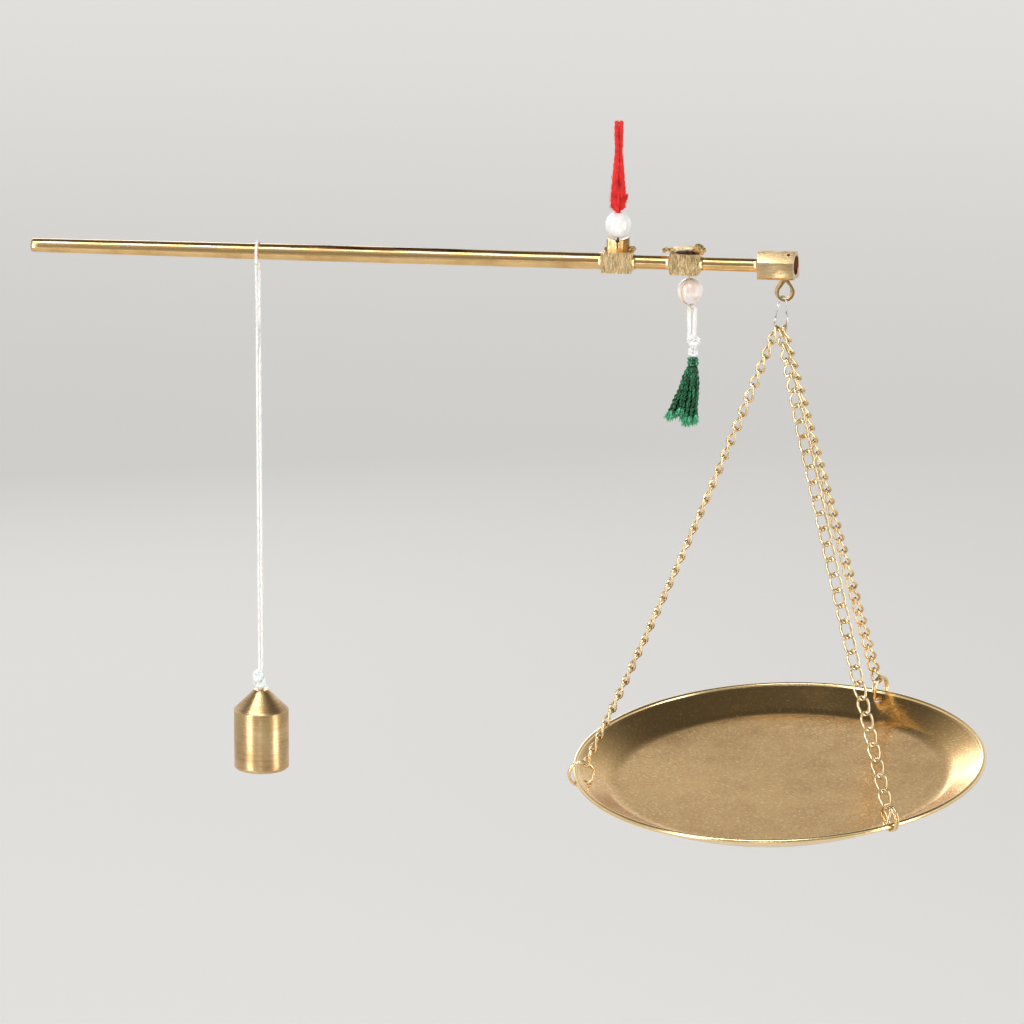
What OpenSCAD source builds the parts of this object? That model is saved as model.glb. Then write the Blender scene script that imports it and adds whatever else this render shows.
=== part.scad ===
// Hand-held beam scale: a brass rod hung from a red thread, with a sliding weight on a
// thread at the left and a pan on three curb chains at the right. Millimetres.
// Origin at the top of the red thread, +X along the beam to the pan, +Z up.

/* [Beam rod] */
// Depth of the beam's axis under the top of the red thread
beam_drop = 31.8; // [31.4:0.1:32.4]
// Length of rod left of the first fulcrum
rod_left = 133.5; // [125:0.5:145]
// Diameter at the left tip
tip_d = 3.1; // [2.6:0.05:3.4]
// Diameter next to the first block
rod_d = 3.7; // [3.5:0.05:3.9]
// Diameter between the blocks
mid_d = 3.15; // [2.9:0.05:3.3]
// Diameter between the second block and the head
end_d = 3.0; // [2.7:0.05:3.1]
// Length over which the tip's end is chamfered
tip_chamfer = 0.45; // [0.2:0.05:0.8]
// Length of the long taper from the tip
taper_len = 64; // [50:1:75]

/* [Fulcrum blocks] */
// Length of each block along the rod
block_len = 6.7; // [6.2:0.1:7.2]
// Depth of each block front to back
block_dep = 6.4; // [6:0.1:7]
// Height of each block
block_h = 4.7; // [4.5:0.1:5.2]
// Height of the blocks' middle above the rod's axis
block_rise = 0.2; // [0:0.05:0.3]
// Chamfer on the upper edges of the first block
block_chamfer = 0.55; // [0.2:0.05:0.8]
// Distance between the two fulcrums
fulcrum_gap = 15.1; // [14:0.1:17]
// Length of the solder fillets along the rod
fillet_len = 0.8; // [0.5:0.05:1.1]
// Height of the solder fillets on the faces
fillet_h = 0.5; // [0.3:0.05:0.65]

/* [Upper post and red thread] */
// Width of the post
post_w = 5; // [4.6:0.1:5.4]
// Depth of the post
post_dep = 3; // [2.8:0.1:3.4]
// Height of the tilt pivot above the block's top
pivot_h = 1.1; // [1:0.05:1.3]
// Height of the mouth's bottom above the pivot
mouth_low = 0.7; // [0.6:0.05:0.85]
// Half width of the mouth at its lips
mouth_half = 0.8; // [0.75:0.05:0.9]
// Width of the saw slit under the mouth
slit_w = 0.3; // [0.2:0.05:0.4]
// Diameter of the post's spigot in the block
spigot_d = 1.6; // [1.4:0.05:1.7]
// Depth of the spigot under the block's top
spigot_len = 2; // [1.6:0.1:2.4]
// Diameter of the cross pin
pin_d = 0.5; // [0.4:0.05:0.55]
// Diameter of the red thread where the bead squeezes it
red_tight_d = 0.42; // [0.36:0.02:0.46]
// Diameter of each red strand above the bead
red_d = 0.95; // [0.8:0.05:1.1]
// Diameter of both beads
bead_d = 6.05; // [5.8:0.05:6.1]
// Height of the upper bead's centre above the pivot
bead_rise = 4.65; // [4.6:0.05:4.9]
// Diameter of the bore of both beads
bead_bore = 1.6; // [1.5:0.05:1.8]

/* [Lower suspension] */
// Distance of the lower staple to the right of the second fulcrum
staple_shift = 1.2; // [0.9:0.1:1.5]
// Diameter of the staple's wire
staple_d = 0.36; // [0.3:0.02:0.4]
// Radius of the staple's eye at the middle of its wire
staple_r = 0.42; // [0.4:0.01:0.46]
// Diameter of the bead's wire
bead_wire_d = 0.3; // [0.24:0.02:0.34]
// Depth of the lower bead's centre under its pivot
bead_fall = 3.65; // [3.6:0.05:3.9]
// Diameter of each white strand under the lower bead
white_d = 0.9; // [0.8:0.05:0.95]
// Spread of the two white strands at their top
white_gap = 1.3; // [1.3:0.05:1.5]
// Length of the white strands
white_len = 6.3; // [6:0.1:7.5]
// Length of the tassel's skirt
skirt_len = 14; // [12:0.5:16]
// Width of the tassel at its foot
skirt_w = 7.2; // [6:0.2:7.6]
// Length of the tassel's binding
binding_len = 2; // [1.6:0.1:2.6]
// Diameter of the tassel's binding
binding_d = 2.4; // [2.2:0.1:2.8]
// Thickness of the saddle's strip
saddle_t = 0.55; // [0.4:0.05:0.65]
// Width of the saddle's strip front to back
saddle_dep = 2.4; // [2:0.1:3]
// Height of the gap under the saddle
saddle_gap = 0.95; // [0.8:0.05:1.2]

/* [End head and eye] */
// Distance of the head's left end from the first fulcrum
head_x = 31.4; // [30:0.2:34]
// Length of the head
head_len = 8.9; // [8.5:0.1:10]
// Height and depth of the head
head_w = 6; // [5.8:0.1:6.4]
// Width of the head's upper facets
head_facet = 2.1; // [1.6:0.1:2.2]
// Diameter of the open bore at the head's right end
head_bore = 4.4; // [4:0.1:4.6]
// Depth of the open bore
head_bore_len = 4.6; // [4.4:0.1:5]
// Distance of the eye's shank from the head's open end
eye_inset = 2.9; // [2.6:0.1:3.2]
// Diameter of the eye's shank
shank_d = 1.45; // [1.3:0.05:1.5]
// Height of the eye under the head
eye_h = 5.2; // [5:0.1:5.6]
// Width of the eye
eye_w = 4.2; // [4:0.1:4.6]
// Thickness of the eye's strip
eye_t = 0.55; // [0.45:0.05:0.6]
// Width of the eye's strip
eye_strip = 1.7; // [1.5:0.1:1.8]
// Turn of the eye about the vertical, in degrees
eye_turn = 22; // [15:1:30]
// Diameter of the hanger loop's wire
loop_d = 0.45; // [0.4:0.02:0.5]
// Half width of the hanger loop at the middle of its wire
loop_half = 1.5; // [1.46:0.02:1.6]
// Turn of the hanger loop's top about the vertical, in degrees
loop_top_turn = 30; // [20:1:35]
// Turn of its foot, in degrees
loop_foot_turn = 110; // [100:1:118]
// Lean of the hanger loop to the left over its length
loop_lean = 0.95; // [0.5:0.05:1.2]
// Length of the hanger loop between the middles of its wire
loop_len = 8.45; // [7.5:0.05:9]

/* [Chains] */
// Diameter of the chain wire
link_wire = 0.5; // [0.44:0.02:0.52]
// Width of a link
link_w = 2.6; // [2.5:0.05:2.8]
// Running gap between linked wires
link_gap = 0.06; // [0.04:0.01:0.08]
// Links in the left chain
left_links = 31; // [29:1:32]
// Links in the front chain
front_links = 31; // [29:1:32]
// Links in the rear chain
rear_links = 29; // [27:1:30]
// Sag of the left chain at its middle
left_sag = 1.1; // [0:0.1:2]
// Spacing of the three top links on the hanger loop's wire
top_spacing = 1; // [0.95:0.05:1.05]
// Diameter of the wire of the split rings
ring_wire = 0.4; // [0.34:0.02:0.42]
// Outside diameter of the split rings
ring_d = 6.1; // [6:0.05:6.3]
// Pitch of a split ring's two turns
ring_pitch = 0.44; // [0.43:0.01:0.5]

/* [Pan] */
// Outside diameter of the rim
pan_d = 94; // [88:0.5:98]
// Depth of the pan inside
pan_depth = 4.6; // [4:0.1:5.2]
// Thickness of the sheet
sheet = 0.8; // [0.6:0.02:0.9]
// Width of the wall seen from above
wall_run = 8.6; // [8:0.2:10]
// Radius of the bend between floor and wall
bend_r = 7; // [5:0.5:8]
// Diameter of the folded rim
hem_d = 1.2; // [1.1:0.05:1.3]
// Diameter of the holes for the split rings
ring_hole = 2; // [1.8:0.1:2.2]
// Depth of the rim's middle under the hanger loop
pan_fall = 98.4; // [95:0.2:102]
// Slope of the pan down to the front, in degrees
pan_pitch = 6.6; // [5:0.1:8]
// Slope of the pan down to the left, in degrees
pan_lean = 2.2; // [1:0.1:3]
// Bearing of the left hole round the pan, in degrees from the right
left_hole = -165; // [-175:1:-160]
// Bearing of the front hole
front_hole = -53; // [-60:1:-45]
// Bearing of the rear hole
rear_hole = 63; // [55:1:70]
// Distance of the holes from the rim's middle, along the wall
hole_inset = 2.4; // [2.2:0.1:2.6]

/* [Weight] */
// Distance of the weight's thread left of the first fulcrum
weight_x = 81.5; // [70:0.5:95]
// Diameter of the weight
weight_d = 12.6; // [12:0.1:13.2]
// Length of its straight part
weight_body = 13.4; // [12:0.1:15]
// Height of its cone
weight_cone = 5.2; // [4.6:0.1:6]
// Diameter of its flat top
weight_top = 3.4; // [3:0.1:4]
// Chamfer at its foot
weight_chamfer = 0.35; // [0.2:0.05:0.6]
// Diameter of the thread's hole in its top
weight_hole = 1.5; // [1.4:0.05:1.7]
// Depth of that hole
weight_hole_len = 5; // [4:0.5:7]
// Diameter of the weight's thread
thread_d = 0.62; // [0.54:0.02:0.66]
// Gap between the thread's loop and the thickest rod
thread_gap = 0.12; // [0.1:0.01:0.15]
// Depth of the knot's middle under the beam's axis
knot_fall = 98.9; // [95:0.5:105]
// Diameter of the knot
knot_d = 3.1; // [2.6:0.1:3.4]
// Length of the stem of thread between the knot and the weight
stem_len = 1; // [0.6:0.1:1.6]

/* [Hidden] */

brass = "#c8a04e";
pale_brass = "#d2b069";
silver = "#c9c6c0";
white = "#eeeae2";
scarlet = "#d8251f";
emerald = "#0d6b42";

// Levels along Z and places along X
beam_z = -beam_drop;
block_top = beam_z + block_rise + block_h/2;
block_foot = block_top - block_h;
pivot_z = block_top + pivot_h;
upper_bead_z = pivot_z + bead_rise;
staple_x = fulcrum_gap + staple_shift;
staple_z = block_foot - 0.25;
lower_pivot_z = staple_z - staple_r + staple_d/2 + 0.05;
lower_bead_z = lower_pivot_z - bead_fall;
bead_foot = lower_bead_z - bead_d/2;
head_end = head_x + head_len;
head_mid_z = beam_z + 0.3;
head_foot = head_mid_z - head_w/2;
eye_x = head_end - eye_inset;
eye_foot = head_foot - eye_h;
loop_inner = loop_half - loop_d/2;
loop_top = eye_foot + eye_t + loop_half - sqrt(pow(loop_inner, 2) - pow(eye_strip/2 + 0.08, 2));
apex_z = loop_top - loop_len;

function unit(v) = v/norm(v);

// Vector v turned by the angle a about the unit axis k
function turn(v, k, a) = v*cos(a) + cross(k, v)*sin(a) + k*(k*v)*(1 - cos(a));

// One point between b and c of a smooth curve through a, b, c and d
function through(a, b, c, d, t) =
    0.5*(2*b + (c - a)*t + (2*a - 5*b + 4*c - d)*t*t + (3*b - a - 3*c + d)*t*t*t);

// A smooth path through the points p, with the given steps between two of them
function smooth(p, steps) = concat(
    [for (i = [0:len(p) - 2], s = [0:steps - 1])
        through(p[max(i - 1, 0)], p[i], p[i + 1], p[min(i + 2, len(p) - 1)], s/steps)],
    [p[len(p) - 1]]);

// The same for a closed path
function smooth_ring(p, steps) = let (n = len(p))
    [for (i = [0:n - 1], s = [0:steps - 1])
        through(p[(i + n - 1)%n], p[i], p[(i + 1)%n], p[(i + 2)%n], s/steps)];

// One ring of a tube's skin round the point c, square to the direction t
function skin_ring(c, t, ref, r, sides) =
    let (n = unit(ref - t*(ref*t)), b = cross(t, n))
    [for (k = [0:sides - 1]) c + r*(cos(360*k/sides)*n + sin(360*k/sides)*b)];

// Sides of wires and of threads
wire_sides = 5;
thread_sides = 6;

// Wire or thread along a path; ref is a direction that the path never follows
module tube(path, r, sides, ref, closed = false) {
    n = len(path);
    ahead = [for (i = [0:n - 1]) path[closed ? (i + 1)%n : min(i + 1, n - 1)]];
    behind = [for (i = [0:n - 1]) path[closed ? (i + n - 1)%n : max(i - 1, 0)]];
    radii = is_list(r) ? r : [for (i = [0:n - 1]) r];
    points = [for (i = [0:n - 1])
        each skin_ring(path[i], unit(ahead[i] - behind[i]), ref, radii[i], sides)];
    last = (n - 1)*sides;
    skin = [for (i = [0:(closed ? n : n - 1) - 1], k = [0:sides - 1])
        let (a = i*sides + k, b = i*sides + (k + 1)%sides,
            d = ((i + 1)%n)*sides + k, c = ((i + 1)%n)*sides + (k + 1)%sides)
        each [[a, c, b], [a, d, c]]];
    ends = closed ? [] : [for (k = [1:sides - 2])
        each [[0, k, k + 1], [last, last + k + 1, last + k]]];
    polyhedron(points = points, faces = concat(skin, ends), convexity = 4);
}

// Turned shape about the X axis from [x, radius] pairs
module turned_x(profile, fn = 64)
    rotate([90, 0, 90]) rotate_extrude($fn = fn) polygon([for (p = profile) [p[1], p[0]]]);

rod_end = head_end - head_bore_len - 0.2;
module beam_rod() color(brass) difference() {
    translate([0, 0, beam_z]) turned_x([[-rod_left, 0], [-rod_left, tip_d/2 - tip_chamfer],
        [-rod_left + tip_chamfer*0.5, tip_d/2 - tip_chamfer*0.3], [-rod_left + tip_chamfer*1.4, tip_d/2],
        [-rod_left + taper_len, rod_d/2], [-block_len/2, rod_d/2], [-block_len/2, mid_d/2],
        [fulcrum_gap, mid_d/2], [fulcrum_gap, end_d/2], [rod_end, end_d/2], [rod_end, 0]]);
    spigot_hole();
    staple_hole();
}

// Blind hole for the post's spigot, down into the rod
module spigot_hole()
    translate([0, 0, block_top - spigot_len]) cylinder(h = block_h, d = spigot_d, $fn = 32);

// Hole for the staple's two legs through the second block and the rod
module staple_hole()
    translate([staple_x, 0, block_foot - 1])
        cylinder(h = block_h + 2, r = staple_r + staple_d/2 + 0.04, $fn = 32);

// Bore along the beam from x for a rod of diameter d
module rod_bore(x, length, d)
    translate([x, 0, beam_z]) rotate([0, 90, 0]) cylinder(h = length, d = d, $fn = 64);

// Block seen from the front, with both upper edges chamfered
module block_blank(x, chamfer)
    translate([x, block_dep/2, 0]) rotate([90, 0, 0]) linear_extrude(block_dep)
        polygon([[-block_len/2, block_foot], [block_len/2, block_foot],
            [block_len/2, block_top - chamfer], [block_len/2 - chamfer, block_top],
            [-block_len/2 + chamfer, block_top], [-block_len/2, block_top - chamfer]]);

module upper_block() color(pale_brass) difference() {
    block_blank(0, block_chamfer);
    rod_bore(-block_len, 2*block_len, mid_d);
    spigot_hole();
}

module lower_block() color(pale_brass) difference() {
    block_blank(fulcrum_gap, block_chamfer/4);
    rod_bore(fulcrum_gap - block_len, block_len, mid_d);
    rod_bore(fulcrum_gap - 0.01, block_len, end_d);
    staple_hole();
}

// Ring of solder in the corner between a rod of diameter d and a face at x; side is -1 or 1
module fillet(x, d, side)
    translate([x, 0, beam_z])
        turned_x([[0, d/2], [side*fillet_len, d/2], [side*fillet_len*0.5, d/2 + fillet_h*0.25],
            [side*fillet_len*0.15, d/2 + fillet_h*0.6], [0, d/2 + fillet_h]], 48);

module solder_fillets() color(brass) {
    fillet(-block_len/2, rod_d, -1);
    fillet(block_len/2, mid_d, 1);
    fillet(fulcrum_gap - block_len/2, mid_d, -1);
    fillet(fulcrum_gap + block_len/2, end_d, 1);
    fillet(head_x, end_d, -1);
}

// Post: front outline with the V mouth, right front edge cut back, blind pocket for the
// thread's loop, saw slit right through, and a spigot in the block and the rod
lip_h = 1.42;
shoulder_h = 1.8;
pocket_half = 0.45;
pocket_wall = 0.62;
module post_front() translate([0, post_dep/2, pivot_z]) rotate([90, 0, 0])
    linear_extrude(post_dep)
        polygon([[-post_w/2, -pivot_h], [post_w/2, -pivot_h], [post_w/2, shoulder_h - 0.1],
            [post_w/2 - 0.2, shoulder_h], [2*mouth_half, lip_h + 0.16], [mouth_half, lip_h],
            [0, mouth_low], [-mouth_half, lip_h], [-2*mouth_half, lip_h + 0.16],
            [-post_w/2 + 0.35, shoulder_h], [-post_w/2, shoulder_h - 0.35]]);
module post_plan() translate([0, 0, block_top - 1]) linear_extrude(pivot_h + 5)
    polygon([[-post_w/2, -post_dep/2 + 0.3], [-post_w/2 + 0.3, -post_dep/2],
        [post_w/2 - 1.2, -post_dep/2], [post_w/2, -post_dep/2 + 1.3], [post_w/2, post_dep/2],
        [-post_w/2, post_dep/2]]);
module upper_post() color(pale_brass) difference() {
    union() {
        intersection() {
            post_front();
            post_plan();
        }
        translate([0, 0, block_top - spigot_len]) cylinder(h = spigot_len + 0.1, d = spigot_d, $fn = 32);
    }
    translate([-pocket_half, -post_dep/2 + pocket_wall, pivot_z - 0.88])
        cube([2*pocket_half, post_dep - 2*pocket_wall, 4]);
    translate([-slit_w/2, -post_dep, block_top + 0.12]) cube([slit_w, 2*post_dep, 4]);
    translate([-post_w, 0, pivot_z]) rotate([0, 90, 0]) cylinder(h = 2*post_w, d = pin_d, $fn = 24);
}

module cross_pin() color(brass)
    translate([-post_w/2 + 0.1, 0, pivot_z]) rotate([0, 90, 0])
        cylinder(h = post_w - 0.2, d = pin_d, $fn = 24);

// Red thread: from a cut end down through the bead, round the cross pin and up again
bight_r = pin_d/2 + 0.05 + red_tight_d/2;
red_knee = upper_bead_z + bead_d/2 + 0.8;
red_front = [[-0.5, -0.5, 0], [-0.45, -0.5, -3], [-0.25, -0.55, -7], [-0.6, -0.5, -11], [-0.95, -0.5, -15],
    [-1.1, -0.55, -18], [-0.5, -0.56, red_knee], [0, -bight_r, upper_bead_z + 2.4],
    [0, -bight_r, upper_bead_z], [0, -bight_r, upper_bead_z - 2.4]];
red_route = smooth(concat(red_front,
    [for (a = [0:45:180]) [0, -bight_r*cos(a), pivot_z - bight_r*sin(a)]],
    [for (i = [len(red_front) - 1:-1:0]) [-red_front[i][0], -red_front[i][1], red_front[i][2]]]), 2);
red_radii = [for (p = red_route) p[2] > red_knee + 0.1 ? red_d/2 : red_tight_d/2];
module red_thread() color(scarlet) tube(red_route, red_radii, wire_sides, [1, 0, 0]);

module bead(x, z) translate([x, 0, z]) difference() {
    sphere(d = bead_d, $fn = 64);
    cylinder(h = 2*bead_d, d = bead_bore, center = true, $fn = 32);
}
module upper_bead() color(white) bead(0, upper_bead_z);
module lower_bead() color(white) bead(staple_x, lower_bead_z);

// Saddle: foot at the left, low arch over the staple's ends, thick end at the right
saddle_l = fulcrum_gap - block_len/2 + 0.3;
saddle_r = fulcrum_gap + block_len/2 + 1;
saddle_h = saddle_gap + saddle_t;
module saddle() color(brass)
    translate([0, saddle_dep/2, block_top]) rotate([90, 0, 0]) linear_extrude(saddle_dep)
        difference() {
            polygon([[saddle_l - 2.3, 0.1], [saddle_l - 2.1, 0.5], [saddle_l - 1.2, 0.42],
                [saddle_l - 0.4, saddle_t + 0.1], [saddle_l + 0.9, saddle_h - 0.1],
                [saddle_l + 2.4, saddle_h + 0.1], [saddle_r - 1.6, saddle_h + 0.35],
                [saddle_r - 0.7, saddle_h + 0.1], [saddle_r, saddle_gap*0.7], [saddle_r, 0],
                [saddle_l - 0.3, 0], [saddle_l - 1.3, 0.14]]);
            polygon([[saddle_l + 0.3, 0.1], [saddle_l + 1, saddle_gap - 0.2],
                [saddle_l + 2.2, saddle_gap], [saddle_r - 2.7, saddle_gap + 0.1],
                [saddle_r - 1.9, saddle_gap*0.5], [saddle_r - 2, 0.1], [saddle_r - 2, -1],
                [saddle_l + 0.3, -1]]);
        }

// Staple: two legs up through the block, ends bent apart on its top, eye below
staple_bend = block_top + 0.02 + staple_d/2;
staple_out = staple_r + 0.65;
module staple() color(brass) tube(smooth(concat(
    [[staple_x - staple_out, 0, staple_bend], [staple_x - staple_r - 0.3, 0, staple_bend + 0.1],
        [staple_x - staple_r, 0, block_top], [staple_x - staple_r, 0, beam_z]],
    [for (a = [0:30:180]) [staple_x - staple_r*cos(a), 0, staple_z - staple_r*sin(a)]],
    [[staple_x + staple_r, 0, beam_z], [staple_x + staple_r, 0, block_top],
        [staple_x + staple_r + 0.3, 0, staple_bend + 0.1], [staple_x + staple_out, 0, staple_bend]]), 2),
    staple_d/2, wire_sides, [0, 1, 0]);

// Bead wire: over the staple's eye, one side through the bead, the other down its left front
white_top = bead_foot - 0.1 - white_d/2;
white_arc_z = white_top - white_gap/2;
white_x = staple_x + 0.45;
wire_hook = lower_pivot_z + bead_wire_d/2;
wire_reach = bead_d/2 + bead_wire_d/2 + 0.08;
wire_low = white_top - white_d/2 - 0.04 - bead_wire_d/2;
wire_route = concat(
    [[staple_x, 0, wire_hook], [staple_x, -0.4, wire_hook - 0.3]],
    [for (a = [15:25:165]) [staple_x - 0.59*wire_reach*sin(a), -0.81*wire_reach*sin(a),
        lower_bead_z + wire_reach*cos(a)]],
    [[white_x, -0.66, wire_low + 0.15], [white_x, 0, wire_low], [white_x, 0.66, wire_low + 0.15],
        [staple_x + 0.3, 0.64, bead_foot - 0.05], [staple_x, 0.35, bead_foot + 1],
        [staple_x, 0.3, lower_bead_z], [staple_x, 0.4, lower_bead_z + bead_d/2 - 0.4],
        [staple_x, 0.4, wire_hook - 0.3]]);
module bead_wire() color(brass)
    tube(smooth_ring(wire_route, 2), bead_wire_d/2, wire_sides, unit([-0.81, 0.59, 0]), true);

// White thread: up one strand, through the wire, down the other, to the knot
white_end_z = white_arc_z - white_len;
module white_thread() color(white) tube(smooth(concat(
    [[white_x - white_gap/2 + 0.15, 0, white_end_z], [white_x - white_gap/2 + 0.15, 0, white_end_z + 1],
        [white_x - white_gap/2 + 0.05, 0, white_arc_z - 3], [white_x - white_gap/2, 0, white_arc_z - 1]],
    [for (a = [0:45:180]) [white_x - white_gap/2*cos(a), 0, white_arc_z + white_gap/2*sin(a)]],
    [[white_x + white_gap/2, 0, white_arc_z - 1], [white_x + white_gap/2, 0, white_arc_z - 3],
        [white_x + white_gap/2 - 0.05, 0, white_end_z + 1],
        [white_x + white_gap/2 - 0.05, 0, white_end_z]]), 2), white_d/2, thread_sides, [0, 1, 0]);

// Knot of rounded turns
white_knot_h = 1.6;
module white_knot() color(white) translate([white_x + 0.1, 0, white_end_z - white_knot_h])
    rotate_extrude($fn = 24) polygon([[0, 0], [1, 0], [1.35, 0.35], [1.2, 0.7], [1.4, 1.1],
        [1.15, white_knot_h], [0, white_knot_h]]);

// Little loop that holds the tassel
loop_x = white_x + 0.35;
loop_r = 0.95;
loop_strand_d = 0.7;
loop_z = white_end_z - white_knot_h - loop_strand_d/2 - 1.45*loop_r;
neck_z = loop_z - 1.3*loop_r;
module tassel_loop() color(white) tube(smooth(concat(
    [[loop_x - 0.5, 0, neck_z + 0.06], [loop_x - 0.5, 0, neck_z + 0.4]],
    [for (a = [200:-30:-20]) [loop_x + loop_r*cos(a), 0, loop_z + 1.45*loop_r*sin(a)]],
    [[loop_x + 0.5, 0, neck_z + 0.4], [loop_x + 0.5, 0, neck_z + 0.06]]), 2), loop_strand_d/2, wire_sides, [0, 1, 0]);

// Tassel: silk turns round its neck, and a skirt in two lobes
module tassel_binding() color("#3f9a6c") translate([loop_x, 0, neck_z - binding_len])
    rotate_extrude($fn = 32) polygon(concat([[0, 0]],
        [for (k = [0:8]) [binding_d/2 - (k%2 == 0 ? 0.12 : 0), binding_len*k/8]], [[0, binding_len]]));

skirt_top = neck_z - binding_len;
skirt_neck = 0.42*binding_d;
skirt_rings = 8;
skirt_sides = 20;
// Half width of the skirt at the share s of its length, and its drift to the left
function skirt_half(s) = skirt_neck + (skirt_w/2 - skirt_neck)*pow(s, 1.25);
function skirt_drift(s) = -2.2*pow(s, 1.3);
skirt_points = [for (i = [0:skirt_rings], k = [0:skirt_sides - 1])
    let (s = i/skirt_rings, a = 360*k/skirt_sides, flute = 1 - 0.07*s*(k%2),
        split = 1 - 0.25*s*s*pow(abs(sin(a)), 6))
    [loop_x + skirt_drift(s) + skirt_half(s)*flute*cos(a), (skirt_neck + 0.45*s)*flute*split*sin(a),
        skirt_top - skirt_len*s*(1 - 0.06*pow(abs(sin(a)), 4))]];
module green_tassel() color(emerald) {
    last = skirt_rings*skirt_sides;
    polyhedron(points = skirt_points, faces = concat(
        [for (i = [0:skirt_rings - 1], k = [0:skirt_sides - 1])
            let (a = i*skirt_sides + k, b = i*skirt_sides + (k + 1)%skirt_sides)
            each [[a, b, b + skirt_sides], [a, b + skirt_sides, a + skirt_sides]]],
        [for (k = [1:skirt_sides - 2]) each [[0, k + 1, k], [last, last + k, last + k + 1]]]));
}

// Head: filed tube with broad upper facets, rod bore at the left, open bore at the right
module end_head() color(pale_brass) difference() {
    translate([head_x, 0, head_mid_z]) rotate([90, 0, 90]) linear_extrude(head_len)
        polygon([[-head_w/2, -head_w/2 + 0.6], [-head_w/2 + 0.6, -head_w/2], [head_w/2 - 0.6, -head_w/2],
            [head_w/2, -head_w/2 + 0.6], [head_w/2, head_w/2 - head_facet], [head_w/2 - head_facet, head_w/2],
            [-head_w/2 + head_facet, head_w/2], [-head_w/2, head_w/2 - head_facet]]);
    rod_bore(head_x - 1, head_len, end_d);
    translate([head_end - head_bore_len, 0, head_mid_z]) rotate([0, 90, 0])
        cylinder(h = head_len, d = head_bore, $fn = 64);
    translate([eye_x, 0, head_mid_z]) cylinder(h = 2*head_w, d = shank_d, center = true, $fn = 32);
}

// Outline of a drop: round of radius r below, straight sides meeting at the height reach
function drop_outline(r, reach) = let (a = asin(r/reach)) concat([[0, reach]],
    [for (k = [0:24]) let (t = a - (180 + 2*a)*k/24) [r*cos(t), r*sin(t)]]);

// Eye: strip bent to a drop, its legs together as a round shank up through the head
eye_round = eye_w/2;
shank_bare = 0.3;
leg_joint = 0.35;
module pan_eye() color(brass) translate([eye_x, 0, 0]) rotate([0, 0, eye_turn]) {
    difference() {
        translate([0, eye_strip/2, eye_foot + eye_round]) rotate([90, 0, 0]) linear_extrude(eye_strip)
            difference() {
                polygon(drop_outline(eye_round, eye_h - eye_round + 0.9));
                polygon(drop_outline(eye_round - eye_t, eye_h - eye_round - shank_bare - leg_joint));
            }
        translate([-eye_w, -eye_w, head_foot - shank_bare]) cube([2*eye_w, 2*eye_w, eye_h]);
    }
    translate([0, 0, head_foot - shank_bare - leg_joint/2])
        cylinder(h = head_w + leg_joint/2, d = shank_d, $fn = 32);
}

// Hanger loop: a long ring of silvery wire, turned further round at its foot and leaning
// a little to the left
function loop_at(w, z) = let (down = (loop_top - z)/loop_len,
    g = loop_top_turn + (loop_foot_turn - loop_top_turn)*down)
    [eye_x - loop_lean*down - w*sin(g), w*cos(g), z];
function loop_arc(a, middle_z) = loop_at(loop_half*cos(a), middle_z + loop_half*sin(a));
side_levels = [for (s = [1:3]) loop_top - loop_half - (loop_len - 2*loop_half)*s/4];
loop_path = concat([for (a = [0:20:180]) loop_arc(a, loop_top - loop_half)],
    [for (z = side_levels) loop_at(-loop_half, z)],
    [for (a = [180:20:360]) loop_arc(a, apex_z + loop_half)],
    [for (i = [2:-1:0]) loop_at(loop_half, side_levels[i])]);
module hanger_loop() color(silver) tube(loop_path, loop_d/2, wire_sides, [0.34, 0.94, 0], true);

// Pan: its own frame has the rim's middle at the origin and the rim in the plane z = 0
pan_mid = [eye_x + 0.4, -0.2, apex_z - pan_fall];
function pan_place(v) = pan_mid + turn(turn(v, [1, 0, 0], pan_pitch), [0, 1, 0], -pan_lean);
function pan_turn(v) = turn(turn(v, [1, 0, 0], pan_pitch), [0, 1, 0], -pan_lean);
hem_r = pan_d/2 - hem_d/2;
floor_z = -pan_depth - sheet/2;
wall_foot = pan_d/2 - wall_run;
wall_a = atan((-hem_d/2 - floor_z)/(hem_r - wall_foot));
bend_mid = [wall_foot - bend_r*tan(wall_a/2), floor_z + bend_r];
// Points of the bend on a skin at the distance r from the bend's centre
function bend(r) = [for (k = [0:8]) bend_mid + r*[sin(wall_a*k/8), -cos(wall_a*k/8)]];
wall_up = [-sin(wall_a), cos(wall_a)];
hole_mid = [hem_r, -hem_d/2] - hole_inset*[cos(wall_a), sin(wall_a)];
module pan_section() {
    inner = bend(bend_r - sheet/2);
    outer = bend(bend_r + sheet/2);
    polygon(concat([[0, floor_z + sheet/2]], inner, [[hem_r, -hem_d/2] + wall_up*sheet/2],
        [[hem_r, -hem_d/2] - wall_up*sheet/2], [for (k = [8:-1:0]) outer[k]], [[0, floor_z - sheet/2]]));
}
module pan() color(brass) translate(pan_mid) rotate([pan_pitch, -pan_lean, 0]) difference() {
    union() {
        rotate_extrude($fn = 180) pan_section();
        rotate_extrude($fn = 180) translate([hem_r, -hem_d/2]) circle(d = hem_d, $fn = 24);
    }
    for (a = [left_hole, front_hole, rear_hole]) rotate([0, 0, a])
        translate([hole_mid[0], 0, hole_mid[1]]) rotate([0, -wall_a, 0])
            cylinder(h = 6*sheet, d = ring_hole, center = true, $fn = 32);
}

// Split rings: each stands in its hole and round the rim, square to the rim
ring_r = (ring_d - ring_wire)/2;
ring_mid = hole_mid + ring_r*[cos(68), sin(68)];
// Place on a ring at the angle a, for the hole at the given bearing, s beside its middle
function ring_point(bearing, a, s) = pan_place(turn([ring_mid[0] + ring_r*cos(a), s,
    ring_mid[1] + ring_r*sin(a)], [0, 0, 1], bearing));
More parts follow.
